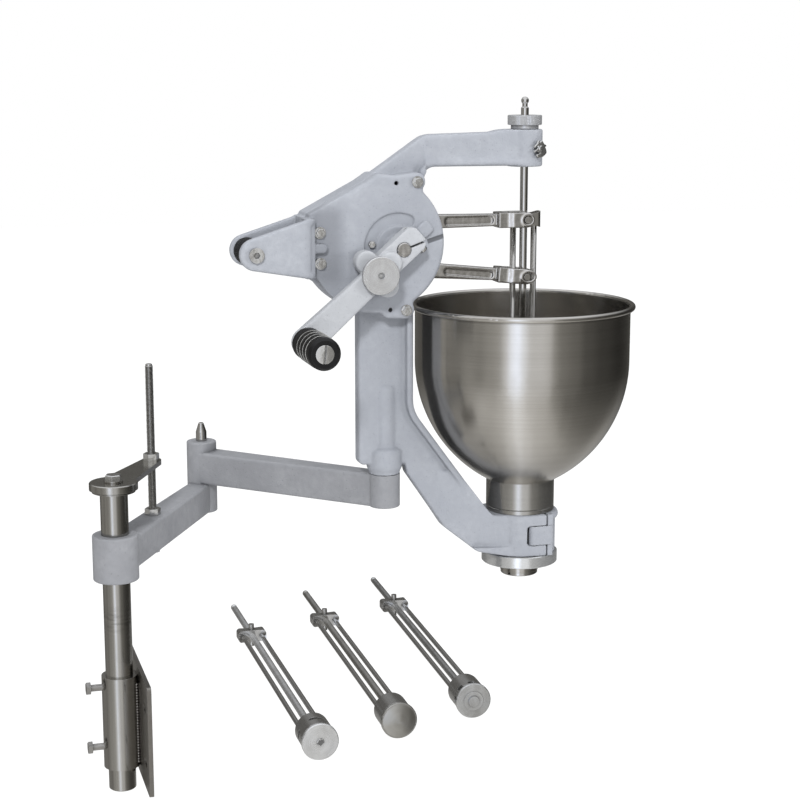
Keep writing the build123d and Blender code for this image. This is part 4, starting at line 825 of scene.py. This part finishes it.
def new_ring(radius, thickness, parts, place):
    """Ring round an axis from front to back, as segments round it and round its section."""
    clear_selection()
    bpy.ops.mesh.primitive_torus_add(
        major_radius=radius, minor_radius=thickness, major_segments=parts[0], minor_segments=parts[1],
        location=place, rotation=along_y)
    return bpy.context.object


def join_all(first, *others):
    """Pieces joined into the first."""
    clear_selection()
    for other in (*others, first):
        other.select_set(True)
    bpy.context.view_layer.objects.active = first
    bpy.ops.object.join()
    return first


def cut_away(tool, *pieces):
    """Cuts a tool out of pieces and takes it away."""
    for piece in pieces:
        make_active(piece)
        cut = piece.modifiers.new("cut", "BOOLEAN")
        cut.operation = "DIFFERENCE"
        cut.object = tool
        bpy.ops.object.modifier_apply(modifier="cut")
    bpy.data.objects.remove(tool)


def settle(piece, name, material, node):
    """Leaves a piece's place in its mesh, and gives it a finish and the body of a solid."""
    make_active(piece)
    bpy.ops.object.transform_apply(location=True, rotation=True, scale=True)
    bpy.ops.object.shade_smooth_by_angle(angle=math.radians(smooth_angle))
    piece.name = name
    piece.data.name = name
    piece.data.materials.clear()
    piece.data.materials.append(material)
    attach(piece, nodes[node]["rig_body"])
    return piece


def solid_copy(node):
    """Copy of a solid with its facets merged, ready for modifiers."""
    piece = nodes[node].copy()
    piece.data = nodes[node].data.copy()
    bpy.context.scene.collection.objects.link(piece)
    piece.hide_render = False
    make_active(piece)
    go_edit()
    bpy.ops.mesh.select_all(action="SELECT")
    bpy.ops.mesh.remove_doubles(threshold=merge_distance)
    leave_edit()
    return piece


def flow_out(piece, rounds):
    """Smooths a piece, within its vertex group if it has one."""
    flow = piece.modifiers.new("flow", "SMOOTH")
    flow.factor = flow_share
    flow.iterations = rounds
    if piece.vertex_groups:
        flow.vertex_group = piece.vertex_groups[0].name
    bpy.ops.object.modifier_apply(modifier="flow")


def run_together(piece, node, material, voxel, rounds, zone=None, zone_rounds=0):
    """Runs every corner of a solid's copy together as in a casting or forging, more so within a zone."""
    skin = piece.modifiers.new("skin", "REMESH")
    skin.mode = "VOXEL"
    skin.voxel_size = voxel
    bpy.ops.object.modifier_apply(modifier="skin")
    flow_out(piece, rounds)
    if zone:
        bpy.ops.object.vertex_group_add()
        go_edit()
        pick_vertices(piece, zone)
        bpy.ops.object.vertex_group_assign()
        leave_edit()
        flow_out(piece, zone_rounds)
    settle(piece, node + "_soft", material, node)
    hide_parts(node)


# Modelled details
def cut_lift_thread():
    """Lift rod with its thread: a chamfered core and one helical ridge."""
    low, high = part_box("lift_rod")
    middle = (low + high) / 2
    crest = (high.x - low.x) / 2
    ridge_middle = crest - ridge_depth / 2
    core = new_pin(28, crest - thread_depth, high.z - low.z, middle)
    chamfer_ends(core, (-1, 1), thread_depth)
    clear_selection()
    bpy.ops.mesh.primitive_plane_add(size=1.0, rotation=along_y)
    ridge = bpy.context.object
    bpy.ops.object.transform_apply(location=True, rotation=True, scale=True)
    go_edit()
    bpy.ops.mesh.select_all(action="SELECT")
    bpy.ops.transform.resize(value=(ridge_depth, 1.0, ridge_foot * thread_pitch))
    bpy.ops.transform.translate(value=(ridge_middle, 0.0, 0.0))
    pick_vertices(ridge, lambda place: place.x > ridge_middle)
    bpy.ops.transform.resize(value=(1.0, 1.0, ridge_tip))
    bpy.ops.mesh.select_all(action="SELECT")
    bpy.ops.mesh.delete(type="ONLY_FACE")
    leave_edit()
    ridge.location = (middle.x, middle.y, low.z + thread_pitch)
    screw = ridge.modifiers.new("helix", "SCREW")
    screw.angle = math.radians(360.0)
    screw.screw_offset = thread_pitch
    screw.iterations = int((high.z - low.z) / thread_pitch) - 2
    screw.steps = thread_steps
    screw.render_steps = thread_steps
    bpy.ops.object.modifier_apply(modifier="helix")
    go_edit()
    bpy.ops.mesh.select_all(action="SELECT")
    bpy.ops.mesh.remove_doubles(threshold=merge_distance)
    bpy.ops.mesh.fill_holes(sides=4)
    bpy.ops.mesh.normals_make_consistent(inside=False)
    leave_edit()
    rod = settle(join_all(core, ridge), "lift_rod_thread", rod_steel, "lift_rod")
    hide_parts("lift_rod")


def paint_grip_highlights():
    """Pale lines on the front walls of the crank grip's grooves, painted as highlights."""
    low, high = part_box("crank_grip")
    middle = (low + high) / 2
    radius = (high.x - low.x) / 2
    pitch = (high.y - low.y) / (grip_grooves + 1)
    rings = []
    for groove in range(grip_first_groove, grip_grooves + 1):
        back = high.y - groove * pitch + grip_line_shift
        rings.append(new_ring(radius, grip_line, (96, 8), (middle.x, back, middle.z)))
        stretch_all((1.0, 1.0, grip_line_flat), orient_type="LOCAL")
    settle(join_all(*rings), "crank_grip_painted_highlights", rubber_highlight, "crank_grip")


def lay_plate_welds():
    """Rippled weld beads down both sides of the clamp sleeve, where it meets the plate."""
    low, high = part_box("clamp_sleeve")
    runs = []
    for side in (-1.0, 1.0):
        clear_selection()
        bpy.ops.mesh.primitive_ico_sphere_add(
            subdivisions=2, radius=weld_radius,
            location=(high.x - weld_sink * weld_radius, side * weld_offset, low.z + weld_end))
        bead = bpy.context.object
        stretch_all(weld_form)
        row = bead.modifiers.new("row", "ARRAY")
        row.use_relative_offset = False
        row.use_constant_offset = True
        row.constant_offset_displace = (0.0, 0.0, weld_step)
        row.count = int((high.z - low.z - 2 * weld_end) / weld_step)
        bpy.ops.object.modifier_apply(modifier="row")
        runs.append(bead)
    settle(join_all(*runs), "plate_welds", weld_steel, "mount_plate")


def draw_out(way):
    """Draws the selected faces out along a direction of the piece itself."""
    bpy.ops.mesh.extrude_region_move(TRANSFORM_OT_translate={"value": way, "orient_type": "LOCAL"})


def shape_wing_screw():
    """Four-lobed wing screw: lobes drawn out of a short hub, rounded by subdivision, on a plain shank."""
    low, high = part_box("wing_screw")
    turn = math.radians(wing_angle)
    way = Vector((math.cos(turn), math.sin(turn), 0.0))
    axis = Vector((hopper_axis.x, hopper_axis.y, (low.z + high.z) / 2))
    along_way = (0.0, math.radians(90.0), turn)
    wing = new_pin(8, wing_hub, wing_hub, axis + wing_reach * way, along_way)
    go_edit()
    for lobe in range(wing_lobes):
        angle = math.radians(wing_first_lobe + 360.0 / wing_lobes * lobe)
        heading = Vector((math.cos(angle), math.sin(angle), 0.0))
        pick_faces(wing, lambda place, normal: normal.dot(heading) > facing_lobe)
        for reach, narrowing in wing_steps:
            draw_out(reach * heading)
            bpy.ops.transform.resize(value=(narrowing, narrowing, narrowing))
    pick_faces(wing, lambda place, normal: normal.z > facing_lobe and place.length < wing_boss_reach)
    bpy.ops.mesh.inset(thickness=wing_boss_inset)
    draw_out((0.0, 0.0, wing_boss_rise))
    leave_edit()
    smooth = wing.modifiers.new("smooth", "SUBSURF")
    smooth.levels = 2
    smooth.render_levels = 2
    bpy.ops.object.modifier_apply(modifier="smooth")
    shank = new_pin(24, wing_shank, wing_shank_length, axis + wing_shank_reach * way, along_way)
    chamfer_ends(shank, (-1,), wing_shank_chamfer)
    screw = settle(join_all(wing, shank), "wing_screw_lobes", fastener_steel, "wing_screw")
    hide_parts("wing_screw")


def slot_grip_screw():
    """Slotted screw in the end of the crank grip: a domed head with an upright slot, on a plain shank."""
    low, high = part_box("grip_screw")
    middle = (low + high) / 2
    radius = (high.x - low.x) / 2
    neck = low.y + grip_head
    head = new_pin(48, radius, grip_head, (middle.x, low.y + grip_head / 2, middle.z), along_y)
    chamfer_ends(head, (1,), grip_head_round, 3)
    clear_selection()
    bpy.ops.mesh.primitive_cube_add(size=1.0, location=(middle.x, low.y, middle.z))
    blade = bpy.context.object
    blade.scale = (grip_slot, 2 * grip_slot_depth, 3 * radius)
    blade.rotation_euler = (0.0, math.radians(grip_slot_angle), 0.0)
    bpy.ops.object.transform_apply(location=True, rotation=True, scale=True)
    cut_away(blade, head)
    shank = new_pin(
        24, grip_shank_share * radius, high.y - neck, (middle.x, (neck + high.y) / 2, middle.z), along_y)
    chamfer_ends(shank, (-1,), grip_shank_chamfer)
    screw = settle(
        join_all(head, shank), "grip_screw_slotted", fastener_steel, "grip_screw")
    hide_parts("grip_screw")


def forge_lever(node, stud, slide):
    """Forged lever with a raised eye on both prongs of its fork, long enough for the stud to slide out."""
    low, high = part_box(node)
    centre = centre_of(stud)
    eyes = []
    for side in (low.y, high.y):
        eyes.append(new_ring(eye_radius, eye_bead, (48, 12), (centre.x + slide / 2, side, centre.z)))
        bpy.ops.object.transform_apply(location=True, rotation=True, scale=True)
        stretch_all((1.0 + slide / 2 / eye_radius, eye_flat, 1.0))
    lever = solid_copy(node)
    pivot = Vector((low.x + lever_pivot_inset, 0.0, (low.z + high.z) / 2))
    slope = (centre.z - pivot.z) / (centre.x - pivot.x)
    middle = (pivot + centre) / 2

    def in_recess(place):
        if not pivot.x + recess_after_pivot < place.x < centre.x - recess_before_stud:
            return False
        line = centre.z + slope * (place.x - centre.x)
        return abs(place.y - centre.y) <= recess_flank and abs(place.z - line) < recess_half

    go_edit()
    pick_vertices(lever, in_recess)
    bpy.ops.transform.resize(value=(1.0, 1.0, recess_growth), center_override=middle)
    leave_edit()
    run_together(join_all(lever, *eyes), node, lever_steel, forge_voxel, forge_rounds)


def cast_head():
    """Head casting with a full, rounded top arm that takes in the flange along the throat."""
    piece = solid_copy("head_frame")
    arm_from, arm_to = shaft_axis.x + arm_after_shaft, hopper_axis.x - arm_before_hopper

    def on_arm(place):
        return place.z > shaft_axis.z + arm_above_shaft and arm_from < place.x < arm_to

    def on_flange(place):
        return on_arm(place) and abs(place.y - hopper_axis.y) > flange_from

    def on_web(place):
        return on_arm(place) and web_from < abs(place.y - hopper_axis.y) < web_to

    go_edit()
    for wanted, widening in ((on_flange, arm_half / flange_half), (on_web, web_fill * arm_half / web_half)):
        pick_vertices(piece, wanted)
        bpy.ops.transform.resize(value=(1.0, widening, 1.0), center_override=hopper_axis)
    leave_edit()
    run_together(
        piece, "head_frame", cast_light, frame_voxel, cast_rounds, on_arm, arm_rounds)


def thicken_rods():
    """Side rods of the fitted plunger at their full thickness."""
    rods = solid_copy("cutter_rods")
    go_edit()
    bpy.ops.mesh.select_all(action="SELECT")
    bpy.ops.mesh.normals_make_consistent(inside=False)
    bpy.ops.transform.shrink_fatten(value=rod_growth)
    leave_edit()
    settle(rods, "cutter_rods_full", rod_steel, "cutter_rods")
    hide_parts("cutter_rods")


def knurl_collar():
    """Guide collar with a fine knurl: every second edge of a many-sided wheel pressed in, on a plain neck."""
    low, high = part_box("guide_collar")
    axis = centre_of("guide_collar")
    radius = (high.x - low.x) / 2
    wheel_height = high.z - low.z - collar_neck
    step = math.pi / knurl_teeth

    def between_teeth(place):
        at_rim = place.xy.length > radius - knurl_band
        return at_rim and round(math.atan2(place.y, place.x) / step) % 2 == 1

    wheel = new_pin(2 * knurl_teeth, radius, wheel_height, (axis.x, axis.y, high.z - wheel_height / 2))
    go_edit()
    pick_faces(wheel, lambda place, normal: abs(normal.z) > facing)
    bpy.ops.mesh.inset(thickness=knurl_rim)
    bpy.ops.transform.resize(value=(1.0, 1.0, 1.0 + knurl_crown / wheel_height))
    pick_vertices(wheel, between_teeth)
    bpy.ops.transform.resize(value=(knurl_share, knurl_share, 1.0))
    leave_edit()
    stem_height = collar_neck + collar_neck_overlap
    stem = new_pin(64, collar_neck_share * radius, stem_height, (axis.x, axis.y, low.z + stem_height / 2))
    chamfer_ends(stem, (-1,), collar_neck_chamfer)
    cut_away(new_pin(48, collar_bore, 4 * wheel_height, axis), wheel, stem)
    collar = settle(
        join_all(wheel, stem), "guide_collar_knurl", collar_lathe, "guide_collar")
    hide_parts("guide_collar")


cut_lift_thread()
paint_grip_highlights()
lay_plate_welds()
shape_wing_screw()
slot_grip_screw()
forge_lever("upper_lever", "crosshead_studs", upper_eye_slide)
forge_lever("lower_lever", "rod_block", lower_eye_slide)
cast_head()
run_together(solid_copy("side_cover"), "side_cover", cast_cover, cover_voxel, cast_rounds)
run_together(solid_copy("crank"), "crank", cast_crank, crank_voxel, cast_rounds)
thicken_rods()
knurl_collar()


# Studio
def floor_finish():
    """Near-white floor that keeps a faint shadow."""
    material = bpy.data.materials.new("studio_floor")
    material.use_nodes = True
    tree = material.node_tree
    tree.nodes.clear()
    matt = put(tree, "BsdfDiffuse", {"Color": floor_colour}).outputs[0]
    glow = put(tree, "Emission", {"Color": white, "Strength": floor_glow}).outputs[0]
    seen = put(tree, "MixShader", {0: floor_glow_share, 1: matt, 2: glow}).outputs[0]
    put(tree, "OutputMaterial", {"Surface": seen})
    return material


def lay_floor():
    """Floor at the machine's lowest point, kept out of the metal's reflections."""
    bpy.ops.mesh.primitive_plane_add(size=floor_size, location=(*floor_place, cad_box[0].z))
    floor = bpy.context.object
    floor.name = "studio_floor"
    floor.data.materials.append(floor_finish())
    floor.visible_glossy = False


def room_colour(tone):
    """Grey of the room at a tone, warm where dim and cold where bright."""
    share = min(1.0, tone / room_bright_tone) ** room_tint_curve
    return tuple(tone * (dim + (bright - dim) * share) for dim, bright in zip(room_dim, room_bright))


def tone_ramp(tree, value, tones, low, high):
    """Colour along tones that lie between low and high, where the ramp's own two stops are taken away."""
    node = put(tree, "ValToRGB", {"Fac": spread(tree, value, low, high)})
    ramp = node.color_ramp
    ramp.interpolation = "EASE"
    for at, tone in tones:
        stop = ramp.elements.new((at - low) / (high - low))
        stop.color = (*room_colour(tone), 1.0)
    ramp.elements.remove(ramp.elements[0])
    ramp.elements.remove(ramp.elements[-1])
    return node.outputs["Color"]


def mirrored_room(tree):
    """Light of the room by direction: walls, ceiling, and the uneven part below."""
    way = put(tree, "SeparateXYZ", {0: put(tree, "TexCoord").outputs["Generated"]}).outputs
    bearing = compute(tree, "ARCTAN2", way[0], product(tree, way[1], -1.0))
    walls = tone_ramp(tree, product(tree, bearing, math.degrees(1.0)), room_tones, -180.0, 180.0)
    ceiling = spread(tree, way[2], *room_ceiling_slope)
    tone = blend_colour(tree, ceiling, walls, room_colour(room_ceiling))
    plane = math.radians(room_low_bearing)
    offset = compute(
        tree, "ADD", product(tree, way[0], math.cos(plane)), product(tree, way[1], math.sin(plane)))
    low = spread(tree, way[2], *room_low_slope)
    tone = blend_colour(tree, low, tone, tone_ramp(tree, offset, room_low_tones, -1.0, 1.0))
    gain = product(tree, low, spread(tree, way[1], *room_low_depth, *room_low_gain))
    power = product(tree, compute(tree, "ADD", gain, 1.0), room_power)
    return put(tree, "Background", {"Color": tone, "Strength": power}).outputs[0]


def light_world():
    """White behind the machine, soft light from around, and a dimmer, uneven room for the metal to mirror."""
    world = bpy.data.worlds.new("studio")
    bpy.context.scene.world = world
    world.use_nodes = True
    tree = world.node_tree
    tree.nodes.clear()
    around = put(tree, "Background", {"Color": around_colour, "Strength": around_power}).outputs[0]
    behind = put(tree, "Background", {"Color": white, "Strength": 1.0}).outputs[0]
    path = put(tree, "LightPath").outputs
    lit = put(tree, "MixShader", {0: path["Is Glossy Ray"], 1: around, 2: mirrored_room(tree)}).outputs[0]
    seen = put(tree, "MixShader", {0: path["Is Camera Ray"], 1: lit, 2: behind}).outputs[0]
    put(tree, "OutputWorld", {"Surface": seen})


def hang_softbox(name, place, side, power):
    """Square lamp aimed at the machine, out of sight of the camera and of the metal."""
    lamp = bpy.data.lights.new(name, "AREA")
    lamp.shape = "RECTANGLE"
    lamp.size = side
    lamp.size_y = side
    lamp.energy = power
    box = bpy.data.objects.new(name, lamp)
    bpy.context.scene.collection.objects.link(box)
    box.location = place
    box.rotation_euler = (Vector(softbox_target) - Vector(place)).to_track_quat("-Z", "Y").to_euler()
    box.visible_glossy = False
    box.visible_camera = False


def set_camera():
    """Camera at the angle of the picture."""
    camera = bpy.data.objects.new("camera", bpy.data.cameras.new("camera"))
    bpy.context.scene.collection.objects.link(camera)
    camera.location = camera_place
    camera.rotation_euler = (math.radians(90.0 - camera_elevation), 0.0, math.radians(camera_azimuth))
    camera.data.lens = camera_lens
    camera.data.sensor_width = camera_sensor
    bpy.context.scene.camera = camera


lay_floor()
light_world()
for name, place, side, power in softboxes:
    hang_softbox(name, place, side, power)
set_camera()
bpy.context.scene.view_settings.view_transform = "Standard"
